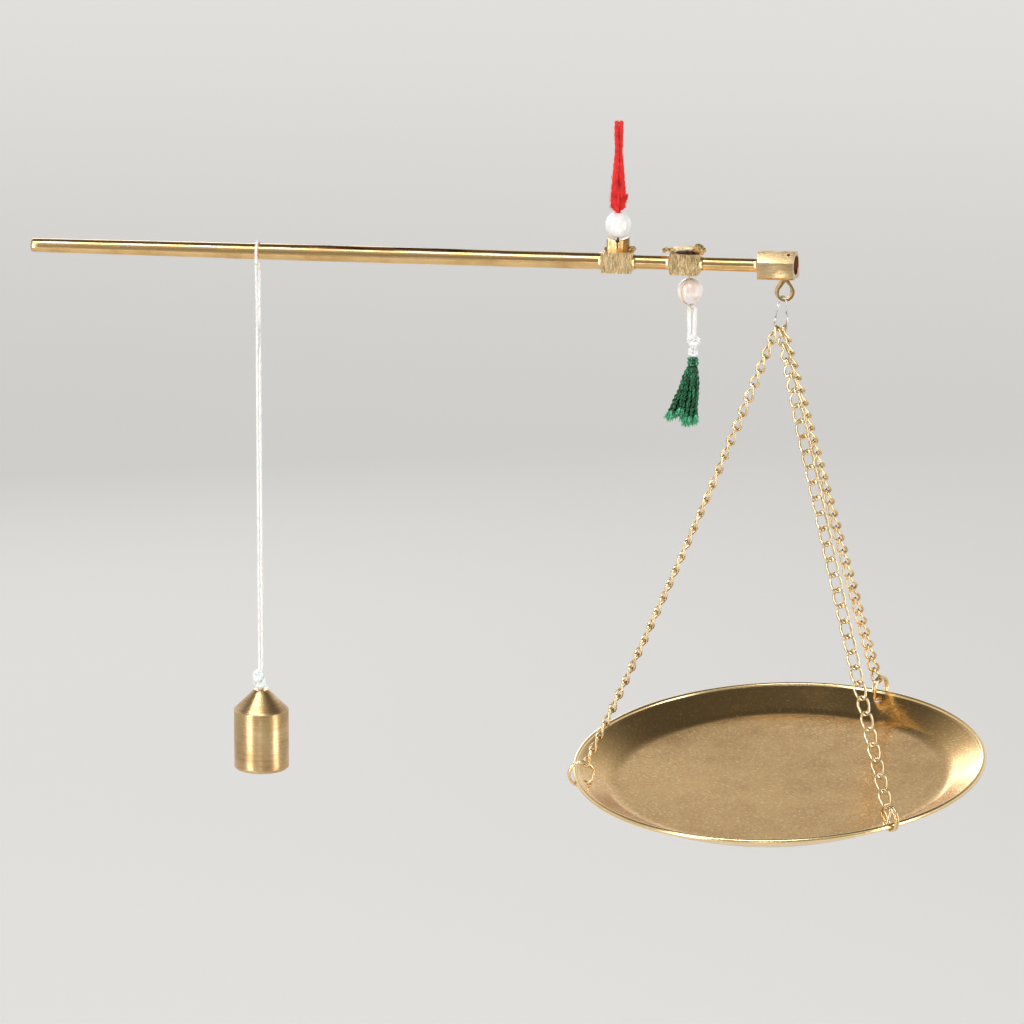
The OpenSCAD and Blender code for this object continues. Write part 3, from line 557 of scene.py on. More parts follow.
def pressed_down(p):
    """The strap's arch is pressed towards the block by a quarter of its height."""
    p[:, 2] -= 0.25 * np.clip(p[:, 2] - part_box("lower_block")[1].z / MM, 0, None)
    return p


reshaped(post, post_ridged)
reshaped(strap, pressed_down)
reshaped(head, end_askew)


def drilled(made, points):
    """The piece with a hole cut by a closed shape of the given points."""
    cutter = placed("drill", mesh_of("drill", [points]))
    cut = made.modifiers.new("hole", "BOOLEAN")
    cut.object, cut.operation, cut.solver = cutter, "DIFFERENCE", "EXACT"
    bpy.context.view_layer.update()
    whole = made.evaluated_get(bpy.context.evaluated_depsgraph_get())
    result = bpy.data.meshes.new_from_object(whole)
    made.modifiers.clear()
    made.data = result
    bpy.data.objects.remove(cutter)


def turn_about(vectors, axis, degrees):
    """Vectors turned about a unit axis through the origin."""
    angle, axis = np.radians(degrees), np.asarray(axis, float)
    vectors = np.asarray(vectors, float)
    return (
        vectors * np.cos(angle) + np.cross(axis, vectors) * np.sin(angle)
        + (vectors @ axis)[..., None] * axis * (1 - np.cos(angle))
    )


def plug(radius, low, high, count):
    """A closed cylinder along Z, from low to high."""
    return turned(np.array([(0, low), (radius, low), (radius, high), (0, high)]), (0, 0, 0), count)


SIDE_HOLE, SIDE_TURN = (38.2, -1.42, -29.02), 45
drilled(head, turn_about(plug(0.4, -0.9, 1.0, 28), (1, 0, 0), SIDE_TURN) + SIDE_HOLE)
smooth_by_angle(head.data, 35.0)
a = full_turn(24)
lip_flat = np.stack([0.46 * np.cos(a), 0.46 * np.sin(a), 0.05 * np.sin(3 * a)], 1)
lip = turn_about(lip_flat, (1, 0, 0), SIDE_TURN) + SIDE_HOLE
lip_skin = skins([lip], 0.11, 8, (0.0, -0.7, 0.7), closed=True)
piece("burr_round_hole", lip_skin, "beam", head_brass, "filed_brass", ring=True)

# Bore of the head: a lining in its open end, rough with a reddish skin because no file reaches it,
# and made very dark as painted shade in the hollow.
dark_bore_and_painted_shade = brass_finish(
    "dark_bore_and_painted_shade", "#6A3A28", "#2A1410", (900.0, 900.0, 900.0), rough=(0.5, 0.7), patches=600.0,
    pits=0.5,
)
bore_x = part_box("end_head")[1].x / MM
lining = np.array([(2.19, 0), (2.19, -4.4), (0, -4.4), (0, -4.5), (2.29, -4.5), (2.29, 0.0)])
lining_grid = turned(lining, (bore_x - 0.05, 0, middle("end_head", "z")), 40, "x")
bore_skin = piece("bore_skin", [lining_grid], "beam", dark_bore_and_painted_shade, "filed_brass", ring=True)
reshaped(bore_skin, end_askew)

# Solder: lumps at both ends of the strap. The thin rough dark disc on top of the second block,
# under the strap, is painted shade.
solder_brass = brass_finish(
    "rough_solder", "#D9B878", "#5F4322", (1500.0, 1500.0, 1500.0), rough=(0.3, 0.5),
    patches=700.0, streaks=0.5, scratch=0.8, pits=0.6,
)


def lump(centre, sizes, seed, rough):
    """A lump: a ball stretched to its three sizes, its skin pushed in and out by waves."""
    draw = np.random.default_rng(seed)
    a, b = np.linspace(0, np.pi, 26)[:, None], full_turn(40)[None]
    ball = np.stack([np.sin(a) * np.cos(b), np.sin(a) * np.sin(b), np.cos(a) + 0 * b], -1)
    waves, phases = draw.normal(0, 3.2, (9, 3)), draw.uniform(0, 6.3, 9)
    swell = 1 + rough * np.sin(ball @ waves.T + phases).sum(-1, keepdims=True) / 2
    return ball * swell * sizes + centre


block_top_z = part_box("lower_block")[1].z / MM
# Painted shade: a thin dark disc on the second block's top, under the strap's arch.
painted_shade_place = (middle("lower_block", "x") + 0.3, -0.2, block_top_z)
painted_shade_disc = lump(painted_shade_place, (2.5, 2.4, 0.16), 3, 0.06)
piece("painted_shade_under_strap", [painted_shade_disc], "beam", dark_bore_and_painted_shade, "filed_brass")
strap_left, strap_right = (corner.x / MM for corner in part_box("saddle"))
post_left, post_right = (corner.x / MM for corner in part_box("upper_post"))
for name, rows in (
    ("solder_lumps", (
        (strap_right - 1.5, -0.6, 0.95, (1.25, 1.2, 1.1), 5, 0.12),
        (strap_left + 1.1, -0.3, 0.35, (0.75, 0.95, 0.5), 6, 0.2),
        (strap_left + 2.0, 0.4, 0.45, (0.8, 0.9, 0.45), 7, 0.2),
        (strap_right - 0.4, 0.3, 0.3, (0.5, 0.8, 0.6), 8, 0.2),
    )),
    ("solder_crumbs", (
        (post_right + 0.5, 0.9, 0.25, (0.9, 0.9, 0.55), 11, 0.25),
        (post_right + 0.2, -0.1, 0.2, (0.5, 0.7, 0.45), 12, 0.25),
        (post_left - 0.2, 0.8, 0.2, (0.4, 0.8, 0.4), 13, 0.25),
    )),
):
    lumps = [lump((x, y, block_top_z + up), *shape) for x, y, up, *shape in rows]
    piece(name, lumps, "beam", solder_brass, "filed_brass")
for name in ("solder_fillets", "cross_pin"):
    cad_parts[name].data.materials.clear()
    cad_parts[name].data.materials.append(aged_brass)


# Staple and bead wire: thin brass wire, bent by hand. The staple goes up through the second
# block, and the closed bead wire hangs in its eye and carries the bead and the thread.
wire_brass = brass_finish(
    "thin_wire_brass", "#F3E0B8", "#CDAF7C", (900.0, 900.0, 900.0), rough=(0.16, 0.28),
    scratch=0.2, pits=0.0,
)
staple_x, lower_bead_z = middle("lower_bead", "x"), middle("lower_bead", "z")
block_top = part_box("upper_block")[1].z / MM
block_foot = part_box("upper_block")[0].z / MM
STAPLE_HALF, STAPLE_WIRE, BEAD_WIRE = 0.42, 0.18, 0.1
staple_z = block_foot - 0.25
lower_pivot_z = staple_z - STAPLE_HALF + STAPLE_WIRE + 0.05
bend_z = block_top + 0.02 + STAPLE_WIRE
left_leg = [(-1.07, 0, bend_z), (-0.72, 0, bend_z + 0.1), (-0.42, 0, block_top), (-0.42, 0, beam_z)]
staple_eye = [
    (-STAPLE_HALF * np.cos(b), 0, staple_z - STAPLE_HALF * np.sin(b))
    for b in np.linspace(0, np.pi, 7)
]
staple_points = left_leg + staple_eye + [(-x, y, z) for x, y, z in reversed(left_leg)]
staple_path = smooth(np.array(staple_points) + (staple_x, 0, 0), 6)
staple_skin = drawn(staple_path, STAPLE_WIRE, 12, (0, 1, 0), lobes=0)
piece("wire_staple", staple_skin, "beam", wire_brass, "brass_wire", ["staple"])

white_x = staple_x + 0.45
bead_foot = lower_bead_z - bead_radius
WHITE_RADIUS, WHITE_HALF_GAP = 0.45, 0.65
white_top = bead_foot - 0.1 - WHITE_RADIUS
white_arc_z = white_top - WHITE_HALF_GAP
wire_low = white_top - WHITE_RADIUS - 0.04 - BEAD_WIRE
hook_z = lower_pivot_z + BEAD_WIRE
reach = bead_radius + BEAD_WIRE + 0.08
a = np.radians(np.arange(15, 166, 25))
round_bead = np.stack([-0.59 * np.sin(a), -0.81 * np.sin(a), np.cos(a)], 1) * reach
round_bead = round_bead + (staple_x, 0, lower_bead_z)
wire_points = [
    (staple_x, 0, hook_z), (staple_x, -0.4, hook_z - 0.3), *round_bead,
    (white_x, -0.66, wire_low + 0.15), (white_x, 0, wire_low), (white_x, 0.66, wire_low + 0.15),
    (staple_x + 0.3, 0.64, bead_foot - 0.05), (staple_x, 0.35, bead_foot + 1),
    (staple_x, 0.3, lower_bead_z), (staple_x, 0.4, lower_bead_z + bead_radius - 0.4),
    (staple_x, 0.4, hook_z - 0.3),
]
bead_wire_skin = skins(
    [smooth(wire_points, 6, ring=True)], BEAD_WIRE, 10, (-0.81, 0.59, 0), closed=True
)
piece(
    "bead_wire_bent", bead_wire_skin, "lower_suspension", wire_brass, "brass_wire",
    ["bead_wire"], ring=True,
)

warm_glass = glass_finish("warm_bead_glass", "#F3EDE8", "#E0D2C6", 0.35)
piece(
    "warm_bead", [bead_grid((staple_x, 0, lower_bead_z), bead_radius, BORE)], "lower_suspension",
    warm_glass, "warm_glass", ["lower_bead"], ring=True,
)


# White thread: soft cotton yarn, doubled through the bead wire and tied in a knot below,
# with a little loop under the knot that carries the tassel.
white_yarn = yarn_finish("white_cotton", "#FBFAF8", "#E6E1DA")
white = ("lower_suspension", white_yarn, "white_thread")
white_end_z = white_arc_z - 6.3
heights = (white_end_z - 0.2, white_end_z + 1, white_arc_z - 3, white_arc_z - 1)
strand_down, other_strand = (
    [(white_x - side * (WHITE_HALF_GAP - x), 0, z) for x, z in zip(inward, heights)]
    for side, inward in ((1, (0.15, 0.15, 0.05, 0)), (-1, (0.05, 0.05, 0, 0)))
)
white_bend = [
    (white_x - WHITE_HALF_GAP * x, 0, white_arc_z + WHITE_HALF_GAP * z)
    for x, z in ((1, 0.2), (0.9, 0.75), (0.5, 1.0), (0, 1.02), (-0.5, 1.0), (-0.9, 0.75), (-1, 0.2))
]
white_path = smooth(strand_down + white_bend + other_strand[::-1], 8)
white_skin = drawn(white_path, WHITE_RADIUS, 18, (0, 1, 0), depth=0.09, lay=3.2)
piece("white_yarn_doubled", white_skin, *white, ["white_thread"])


def wound(centre, radius, turns, rise, seed, count=160):
    """Yarn wound round an upright line: a helix of so many turns that climbs by rise, and
    waves in and out a little, as hand-wound turns do."""
    draw = np.random.default_rng(seed)
    t = np.linspace(0, 1, count)
    angle = 2 * np.pi * turns * t + draw.uniform(0, 6)
    wave = 1 + 0.1 * np.sin(3.3 * angle + draw.uniform(0, 6)) + 0.06 * np.sin(7.1 * angle)
    height = rise * t + 0.12 * np.sin(angle * 1.7)
    ring = [radius * wave * np.cos(angle), radius * wave * np.sin(angle), height]
    return np.stack(ring, 1) + centre


knot_centre = (white_x + 0.1, 0, white_end_z - 1.3)
over_knot = smooth(np.array([
    (0.6, -0.3, 0.3), (-0.3, -0.95, -0.2), (-0.55, -0.9, -0.9), (0.4, -1.0, -1.5),
    (1.35, -0.6, -1.2), (1.45, -0.1, -0.5), (0.7, 0.5, -0.2),
]) + (white_x, 0, white_end_z), 10)
knot_grids = [
    *drawn(wound(knot_centre, 0.62, 2.4, 1.1, 5), 0.44, 12, (0, 0, 1), 3),
    *drawn(wound(knot_centre, 0.3, 1.6, 1.2, 8), 0.45, 12, (0, 0, 1), 3, lobes=0),
    *drawn(over_knot, 0.45, 14, (0, 1, 0.2), 3),
]
for points in (
    ((0.9, -0.3, -0.7), (1.5, -0.45, -0.75), (2.1, -0.4, -1.2), (2.5, -0.3, -1.25)),
    ((0.9, -0.2, -0.4), (1.6, -0.3, -0.1), (2.3, -0.2, -0.35)),
    ((0.2, -0.8, -1.6), (0.9, -1.0, -2.0), (1.5, -0.9, -1.9)),
):
    wisp = smooth(np.array(points) + (white_x, 0, white_end_z), 8)
    knot_grids += drawn(wisp, 0.07, 6, (0, 1, 0), 2, lobes=0)
for k, run in enumerate(halved(white_path)):
    knot_grids += loose_fibres(run, 150, 0.6, 1.8, 0.022, 60 + k)
knot_grids += loose_fibres(over_knot, 160, 0.8, 1.6, 0.022, 63)
piece("white_knot_wound", knot_grids, *white, ["white_knot"])

loop_x = white_x + 0.35
LOOP_R, LOOP_WIRE = 0.95, 0.35
loop_z = white_end_z - 1.6 - LOOP_WIRE - 1.45 * LOOP_R
neck_z = loop_z - 1.3 * LOOP_R
bight_z = neck_z + 0.98
loop_points = [
    (loop_x - 0.1, -0.25, white_end_z - 1.2), (loop_x - 0.42, -0.2, bight_z + 1.1),
    *[
        (loop_x - 0.64 * np.cos(b), 0, bight_z - 0.64 * np.sin(b))
        for b in np.radians(np.arange(-10, 191, 40))
    ],
    (loop_x + 0.42, 0.2, bight_z + 1.1), (loop_x + 0.1, 0.25, white_end_z - 1.2),
]
loop_path = smooth(loop_points, 8)
loop_skin = drawn(loop_path, 0.5, 14, (0, 1, 0))
loop_skin += loose_fibres(loop_path, 90, 0.7, 1.2, 0.02, 66)
piece("little_loop", loop_skin, *white, ["tassel_loop"])


# Tassel: thirty-six twisted yarns of emerald silk, laid over the little loop and bound with
# a few turns of silk. They spread into a cone, and their ends fray to paler floss.
def silk_finish(name, pale, deep):
    """Floss silk: fine glossy strands, with pale dashes painted as highlights on their crests and
    painted shade deeper between them.
    """
    made, tree, shader, place = start_finish(name, {"Roughness": 0.3, "Specular IOR Level": 0.45})
    strands = noise(tree, place, (3200.0, 3200.0, 900.0), 3.0)
    feed(tree, shader, {
        "Base Color": blended(tree, ramp(tree, strands, 0.46, 0.7, 0.0, 1.0), deep, pale),
        "Normal": node(tree, "Bump", {"Height": strands, "Strength": 0.4, "Distance": 0.00005}),
    })
    return made


green_silk = silk_finish("emerald_silk", "#17965A", "#023318")
pale_silk = silk_finish("binding_silk", "#55C690", "#064A2B")
BINDING_R, BINDING_LEN, SKIRT_LEN = 1.2, 2.0, 14.0
skirt_top = neck_z - BINDING_LEN
binding_path = wound(
    (loop_x, 0, skirt_top + 0.15), BINDING_R - 0.2, 7.0, BINDING_LEN - 0.3, 4, 260
)
binding_skin = drawn(binding_path, 0.2, 8, (0, 0, 1), 2, lobes=0)
piece("silk_binding", binding_skin, "lower_suspension", pale_silk, "pale_silk", ["tassel_binding"])
core = np.array([
    (0, 0), (0.9, 0), (1.0, 0.3), (1.0, BINDING_LEN - 0.3), (0.8, BINDING_LEN), (0, BINDING_LEN),
])
core_grid = turned(core, (loop_x, 0, skirt_top), 10)
piece("tassel_head", [core_grid], "lower_suspension", green_silk, "green_silk")

draw = np.random.default_rng(21)
YARNS, YARN_R, STEPS = 36, 0.33, 150
end_x = np.linspace(-3.25, 3.1, YARNS) + draw.uniform(-0.25, 0.25, YARNS)
end_y = draw.uniform(-1.25, 1.25, YARNS)
start_x, start_y = end_x * 0.24, end_y * 0.6
short = 0.17 * np.exp(-(((end_x + 0.9) / 0.8) ** 2)) + 0.06 * (end_x < -1.8)
length = SKIRT_LEN * (draw.uniform(0.93, 1.0, YARNS) - short)
s = np.linspace(0, 1, STEPS)[None]
phase = draw.uniform(0, 6.3, (4, YARNS, 1))
wave_x = (0.16 * np.sin(9 * s + phase[0]) + 0.1 * np.sin(17 * s + phase[1])) * np.sqrt(s)
wave_y = (0.16 * np.sin(8 * s + phase[2]) + 0.1 * np.sin(15 * s + phase[3])) * np.sqrt(s)
strand_x = loop_x - 2.15 * s**1.15 + start_x[:, None] * (1 - s) + end_x[:, None] * s**0.85 + wave_x
strand_y = start_y[:, None] * (1 - s) + end_y[:, None] * s + wave_y
strand_z = skirt_top + 0.3 - s * (0.9 * length[:, None] + 0.3)
yarns = np.stack([strand_x, strand_y, strand_z], -1)
yarn_skins = skins(yarns, tapered(YARN_R, STEPS, 12), 10, (0, 1, 0.1), lobes=2, depth=0.35, lay=2.4)
piece("silk_skirt", yarn_skins, "lower_suspension", green_silk, "green_silk", ["green_tassel"])
FLOSS = 24
ends = YARNS * FLOSS
floss_end = np.repeat(yarns[:, int(STEPS * 0.9)], FLOSS, 0) + draw.normal(0, 0.12, (ends, 3))
yarn_way = np.repeat(yarns[:, -1] - yarns[:, int(STEPS * 0.8)], FLOSS, 0)
floss_way = unit(yarn_way + draw.normal(0, 0.35, (ends, 3)) * (1, 1, 0.2))
floss_len = draw.uniform(1.6, 2.8, (ends, 1, 1))
floss_len = floss_len * np.repeat(length / SKIRT_LEN, FLOSS)[:, None, None]
t = np.linspace(0, 1, 7)[None, :, None]
side_way = draw.normal(0, 0.16, (ends, 1, 3)) * (1, 1, 0.3)
floss = floss_end[:, None] + floss_way[:, None] * floss_len * t + side_way * np.sin(3 * t)
floss[..., 2] = np.maximum(floss[..., 2], skirt_top - SKIRT_LEN + 0.02)
floss_silk = silk_finish("worn_silk_ends", "#ACF2D2", "#3AA876")
floss_skins = skins(floss, 0.062 * (t[0, :, 0] < 1), 4, (0, 1, 0.1))
piece("silk_floss_ends", floss_skins, "lower_suspension", floss_silk, "green_silk")


# Hanger loop: soft silvery wire that goes twice through the strip eye, its two turns
# twisted about each other. The three chains hook over its foot.
eye_x = middle("pan_eye", "x")
HANGER_HALF, HANGER_WIRE, HANGER_LEAN, HANGER_LEN = 1.5, 0.225, 0.95, 8.45
EYE_T, EYE_STRIP = 0.55, 1.7
TOP_TURN, FOOT_TURN = 30.0, 110.0
hanger_top = (
    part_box("pan_eye")[0].z / MM + EYE_T + HANGER_HALF
    - np.sqrt((HANGER_HALF - HANGER_WIRE) ** 2 - (EYE_STRIP / 2 + 0.08) ** 2)
)
apex_z = hanger_top - HANGER_LEN


def hanger_points(w, z):
    """Points of the hanging ring: w across it and z up. Its plane turns and leans on its
    way down."""
    down = (hanger_top - z) / HANGER_LEN
    g = np.radians(TOP_TURN + (FOOT_TURN - TOP_TURN) * down)
    return np.stack([eye_x - HANGER_LEAN * down - w * np.sin(g), w * np.cos(g), z], -1)


FOOT_RISE, THIN_WIRE, APART, TWISTS = 0.55, 0.125, 0.15, 3.5
foot_z = apex_z + FOOT_RISE
a = np.linspace(0, np.pi, 25)
sides_z = np.linspace(hanger_top - HANGER_HALF, foot_z + HANGER_HALF, 24)[1:-1]
half_w = HANGER_HALF * np.cos(a)
side_w = HANGER_HALF + 0 * sides_z
hanger_w = np.concatenate([half_w, -side_w, -half_w, side_w])
hanger_z = np.concatenate([
    hanger_top - HANGER_HALF + HANGER_HALF * np.sin(a), sides_z,
    foot_z + HANGER_HALF - HANGER_HALF * np.sin(a), sides_z[::-1],
])
upper = np.clip((hanger_z - foot_z) / (hanger_top - foot_z), 0, 1)
one_turn = hanger_points(hanger_w * (1 - 0.28 * upper), hanger_z)
one_turn = one_turn - upper[:, None] * (0.3, 0, 0)
two_turns = np.vstack([one_turn, one_turn])
along = unit(np.roll(two_turns, -1, 0) - np.roll(two_turns, 1, 0))
LOOP_SIDE = (0.34, 0.94, 0)
out = unit(np.array(LOOP_SIDE) - along * (along @ np.array(LOOP_SIDE))[:, None])
angle = (2 * np.pi * TWISTS * np.arange(len(two_turns)) / len(one_turn))[:, None]
hanger_path = two_turns + APART * (np.cos(angle) * out + np.sin(angle) * np.cross(along, out))
silver_wire, tree, shader, place = start_finish("silver_wire", {"Metallic": 1.0, "Roughness": 0.28})
tarnish = ramp(tree, noise(tree, place, 700.0, 4.0), 0.4, 0.65, 0.0, 1.0)
feed(tree, shader, {"Base Color": blended(tree, tarnish, "#B5B0A8", "#F2F0EC")})
piece(
    "hanger_ring", skins([hanger_path], THIN_WIRE, 10, LOOP_SIDE, closed=True), "hanger",
    silver_wire, "silver_wire", ["hanger_loop"], ring=True,
)


# Pan: a spun brass dish with its edge folded over. Its satin gold skin has pits, rubbed
# streaks and fine scratches in all directions, and three holes for the rings.
PITCH, LEAN = 6.6, 2.2
pan_mid = np.array([eye_x + 0.4, -0.2, apex_z - 98.4])
LEFT, FRONT, REAR = -165.0, -53.0, 63.0


def pan_turned(vectors):
    """From the pan's own directions to the frame's: tipped to the front, then to the left."""
    return turn_about(turn_about(vectors, (1, 0, 0), PITCH), (0, 1, 0), -LEAN)


PAN_R, DEPTH, SHEET, RUN, BEND, HEM = 47.0, 4.6, 0.8, 8.6, 7.0, 0.6
floor_mid = -DEPTH - SHEET / 2
hem_r = PAN_R - HEM
wall_foot = PAN_R - RUN
wall = np.arctan2(-HEM - floor_mid, hem_r - wall_foot)
bend_r, bend_z = wall_foot - BEND * np.tan(wall / 2), floor_mid + BEND
bend_angle = np.linspace(0, wall, 14)


def sheet_side(side):
    """One side of the sheet, half its thickness above or below its middle: floor, bend and
    wall, from the middle of the pan outwards. Then the point where the wall ends."""
    to_side = side * SHEET / 2
    floor = np.stack([np.linspace(0, bend_r, 30), np.full(30, floor_mid + to_side)], 1)
    arc = np.stack([np.sin(bend_angle), -np.cos(bend_angle)], 1)
    bend = arc * (BEND - to_side) + (bend_r, bend_z)
    end = hem_mid + to_side * np.array([-np.sin(wall), np.cos(wall)]) - 0.6 * outward
    rise = bend[-1] + (end - bend[-1]) * np.linspace(0, 1, 10)[1:-1, None]
    return np.vstack([floor[:-1], bend, rise]), end


hem_mid, outward = np.array([hem_r, -HEM]), np.array([np.cos(wall), np.sin(wall)])
inside, inner_end = sheet_side(1)
underside, outer_end = sheet_side(-1)
start_a, end_a = (np.arctan2(*(end - hem_mid)[::-1]) for end in (inner_end, outer_end))
hem_a = np.linspace(start_a, end_a - 2 * np.pi if end_a > start_a else end_a, 26)
hem = hem_mid + HEM * np.stack([np.cos(hem_a), np.sin(hem_a)], 1)
pan_grid = turned(np.vstack([inside, hem, underside[::-1]]), (0, 0, 0), 288)
calm = np.clip((PAN_R - np.linalg.norm(pan_grid[..., :2], axis=-1, keepdims=True)) / 6, 0, 1)
pan_grid = pan_grid + calm * (uneven(pan_grid, 0.26, 12.0, 12) - pan_grid)
pan_grid = pan_turned(pan_grid) + pan_mid
pan_brass = brass_finish(
    "spun_pan_brass", "#E8BE7C", "#D4A768", (1500.0, 600.0, 1500.0), rough=(0.2, 0.28),
    patches=110.0, streaks=0.35, scratch=0.25, pits=0.5, pit_code="#FFF6DC",
)
tree = pan_brass.node_tree
place = node(tree, "TexCoord", {}, "Object")
slanted = node(tree, "Mapping", {"Vector": place, "Rotation": (0.0, 0.0, 0.7)})
flecks = noise(tree, slanted, (900.0, 3200.0, 2400.0), 3.0)
painted(pan_brass, ramp(tree, flecks, 0.56, 0.66, 0.0, 0.85), "#FAE0A8")
# Painted highlight: a pale band round the pan's folded edge.
from_middle = {0: place, 1: tuple(pan_mid * MM)}
from_middle = node(tree, "VectorMath", from_middle, "Value", operation="DISTANCE")
painted_rim_highlight = ramp(tree, from_middle, (PAN_R - 1.9) * MM, (PAN_R - 1.3) * MM, 0.0, 0.7)
painted(pan_brass, painted_rim_highlight, "#FBE2AE")
dish = piece("spun_dish", [pan_grid], "pan", pan_brass, "pan_brass", ["pan"])
RING_HOLE, INSET = 1.0, 2.4
hole_mid = hem_mid - INSET * outward
for bearing in (LEFT, FRONT, REAR):
    points = turn_about(plug(RING_HOLE, -2.5, 2.5, 40), (0, 1, 0), -np.degrees(wall))
    points = turn_about(points + (hole_mid[0], 0, hole_mid[1]), (0, 0, 1), bearing)
    drilled(dish, pan_turned(points) + pan_mid)
smooth_by_angle(dish.data, 40.0)


# Split rings: two flat turns of brass wire with one step between them, through the hole and
# round the edge of the pan.
RING_R, RING_WIRE, RING_STEP = 2.85, 0.3, 0.3
ring_mid = hole_mid + RING_R * np.array([np.cos(np.radians(68)), np.sin(np.radians(68))])


def ring_points(bearing, degrees, beside):
    """Points of the ring at a bearing round the pan: the angle round the ring, and the
    distance beside its middle plane."""
    a = np.radians(np.asarray(degrees, float))
    flat = [ring_mid[0] + RING_R * np.cos(a), beside + 0 * a, ring_mid[1] + RING_R * np.sin(a)]
    flat = np.stack(flat, -1)
    return pan_mid + pan_turned(turn_about(flat, (0, 0, 1), bearing))


for name, bearing in (("left", LEFT), ("front", FRONT), ("rear", REAR)):
    round_angle = np.linspace(16, 704, 170)
    beside = RING_STEP * np.clip((round_angle - 360) / 16, -1, 1)
    path = ring_points(bearing, round_angle + 200, beside)
    across = pan_turned(turn_about((0, 1, 0), (0, 0, 1), bearing))
    skin = drawn(path, RING_WIRE, 12, across, lobes=0)
    piece(f"ring_{name}", skin, "pan", wire_brass, "brass_wire", [f"split_ring_{name}"])


# Chains: curb chain of soft brass wire. Each link is one closed wire, an oval whose halves
# are bent to opposite sides, so that the links lie in each other.
LINK_WIRE, LINK_HALF_W, LINK_GAP, HOOK, HOLD = 0.31, 1.18, 0.06, 0.72, 0.79
LINK_RISE = 0.8 * (2 * LINK_WIRE + LINK_GAP)
chain_brass = brass_finish(
    "curb_chain_brass", "#F3E0B8", "#C4A470", (1200.0, 1200.0, 1200.0), rough=(0.14, 0.28),
    patches=420.0, streaks=0.3, scratch=0.15, pits=0.0,
)


def oval(centre, along, side, face, half):
    """Centre lines of links: an oval in the link's plane that rises and falls twice
    across it."""
    a = full_turn(28)[:, None]
    return (
        centre + along * half * np.cos(a) + side * LINK_HALF_W * np.sin(a)
        + face * LINK_RISE * np.sin(2 * a)
    )


def chain_links(start, end, count, sag, twist_at, twist):
    """A chain's links from start to end. They follow a line with a small sag and turn
    about it by the twist, in degrees, at each share of the way."""
    span = np.linalg.norm(end - start)
    along = (end - start) / span
    slack = LINK_WIRE + LINK_GAP / 2
    pitch = (span + HOOK + HOLD - 2 * slack) / count
    half = pitch / 2 + slack
    under = unit(np.array([0, 0, -1]) + along * along[2])
    t = ((np.arange(count) + 0.5) / count)[:, None]
    d = unit(along + under * 4 * sag * (1 - 2 * t) / span)
    way = pitch * np.arange(count)[:, None] + half - HOOK
    centre = start + along * way + under * 4 * sag * t * (1 - t)
    flat = unit(np.array([0, -1, 0]) + d * d[:, 1:2])
    angle = np.radians(np.interp(t[:, 0], twist_at, twist))[:, None]
    face = flat * np.cos(angle) + np.cross(d, flat) * np.sin(angle)
    side = np.cross(d, face)
    lines = oval(centre[:, None], d[:, None], side[:, None], face[:, None], half)
    return lines, face[:, None] + 0 * lines


hook_w = np.array([1.0, 0.0, -1.0])
foot_bend_z = foot_z + HANGER_HALF - np.sqrt(HANGER_HALF**2 - hook_w**2)
apex = hanger_points(hook_w, foot_bend_z)
for name, start, bearing, count, sag, twist_at, twist in (
    ("left", apex[0], LEFT, 31, 1.1, [0, 0.15, 0.5, 1], [71, 60, 92, 74]),
    ("front", apex[1], FRONT, 31, 0.3, [0, 0.25, 0.6, 1], [66, 0, 0, -37]),
    ("rear", apex[2], REAR, 29, 0.3, [0, 0.5, 1], [76, 45, 30]),
):
    lines, face = chain_links(start, ring_points(bearing, 115, 0), count, sag, twist_at, twist)
    if name == "front":
        # One link too many was left on this chain: it hangs on the last one's low side.
        last = lines[-1]
        low_left = last[np.argmin(last[:, 2] + 0.5 * last[:, 0])]
        down, flat = unit(np.array([0.08, -0.1, -1.0])), np.array([0.25, -0.96, 0.1])
        spare = oval(low_left + down * 2.05, down, flat, np.cross(down, flat), 2.6)
        lines = np.concatenate([lines, spare[None]])
        face = np.concatenate([face, np.cross(down, flat) + 0 * spare[None]])
    skin = skins(lines, LINK_WIRE, 10, face, closed=True)
    piece(
        f"chain_{name}_links", skin, "pan", chain_brass, "chain_brass", [f"chain_{name}"],
        ring=True,
    )


# Weight: turned brass with a cone on top and a small chamfer at the foot. It hangs on
# white thread, which goes in a loop over the beam and is knotted above the weight.
weight_x = -middle("counterweight", "x")
weight_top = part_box("counterweight")[1].z / MM
THREAD, ROD_GAP = 0.31, 0.12
over = ROD + ROD_GAP + THREAD
swing_z = beam_z - ROD - 0.8
weight_cord = yarn_finish("weight_cotton", "#FAF9F6", "#E2DED6")
below = ("counterweight", weight_cord, "weight_cord")
a = np.linspace(np.pi, 0, 25)
arch = np.vstack([
    [(-weight_x, -over, z) for z in np.linspace(swing_z + 0.06, beam_z - 0.3, 8)],
    np.stack([-weight_x + 0 * a, over * np.cos(a), beam_z + over * np.sin(a)], 1),
    [(-weight_x, over, z) for z in np.linspace(beam_z - 0.3, swing_z + 0.06, 8)],
])
arch_skin = drawn(arch, THREAD, 16, (1, 0, 0), lay=2.6)
piece("thread_over_beam", arch_skin, "weight_slider", weight_cord, "weight_cord", ["weight_loop"])
knot_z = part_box("weight_knot")[1].z / MM
strand_x = THREAD + 0.02
route = np.array([
    (0, 1, 0), (0, 1, 1), (0.05, 0.85, 4), (0.25, 0.5, 9), (0.6, 0.2, 15), (0.9, 0.05, 22),
    *[(1, 0, down) for down in range(30, 81, 10)],
])
weight_runs = []
for side in (-1, 1):
    strand_at = -weight_x + side * strand_x
    points = [
        (-weight_x + side * strand_x * x, side * over * y, swing_z - 0.06 - down)
        for x, y, down in route
    ]
    points += [(strand_at, 0, knot_z + 3), (strand_at, 0, knot_z - 0.6)]
    weight_runs.append(smooth(points, 24))

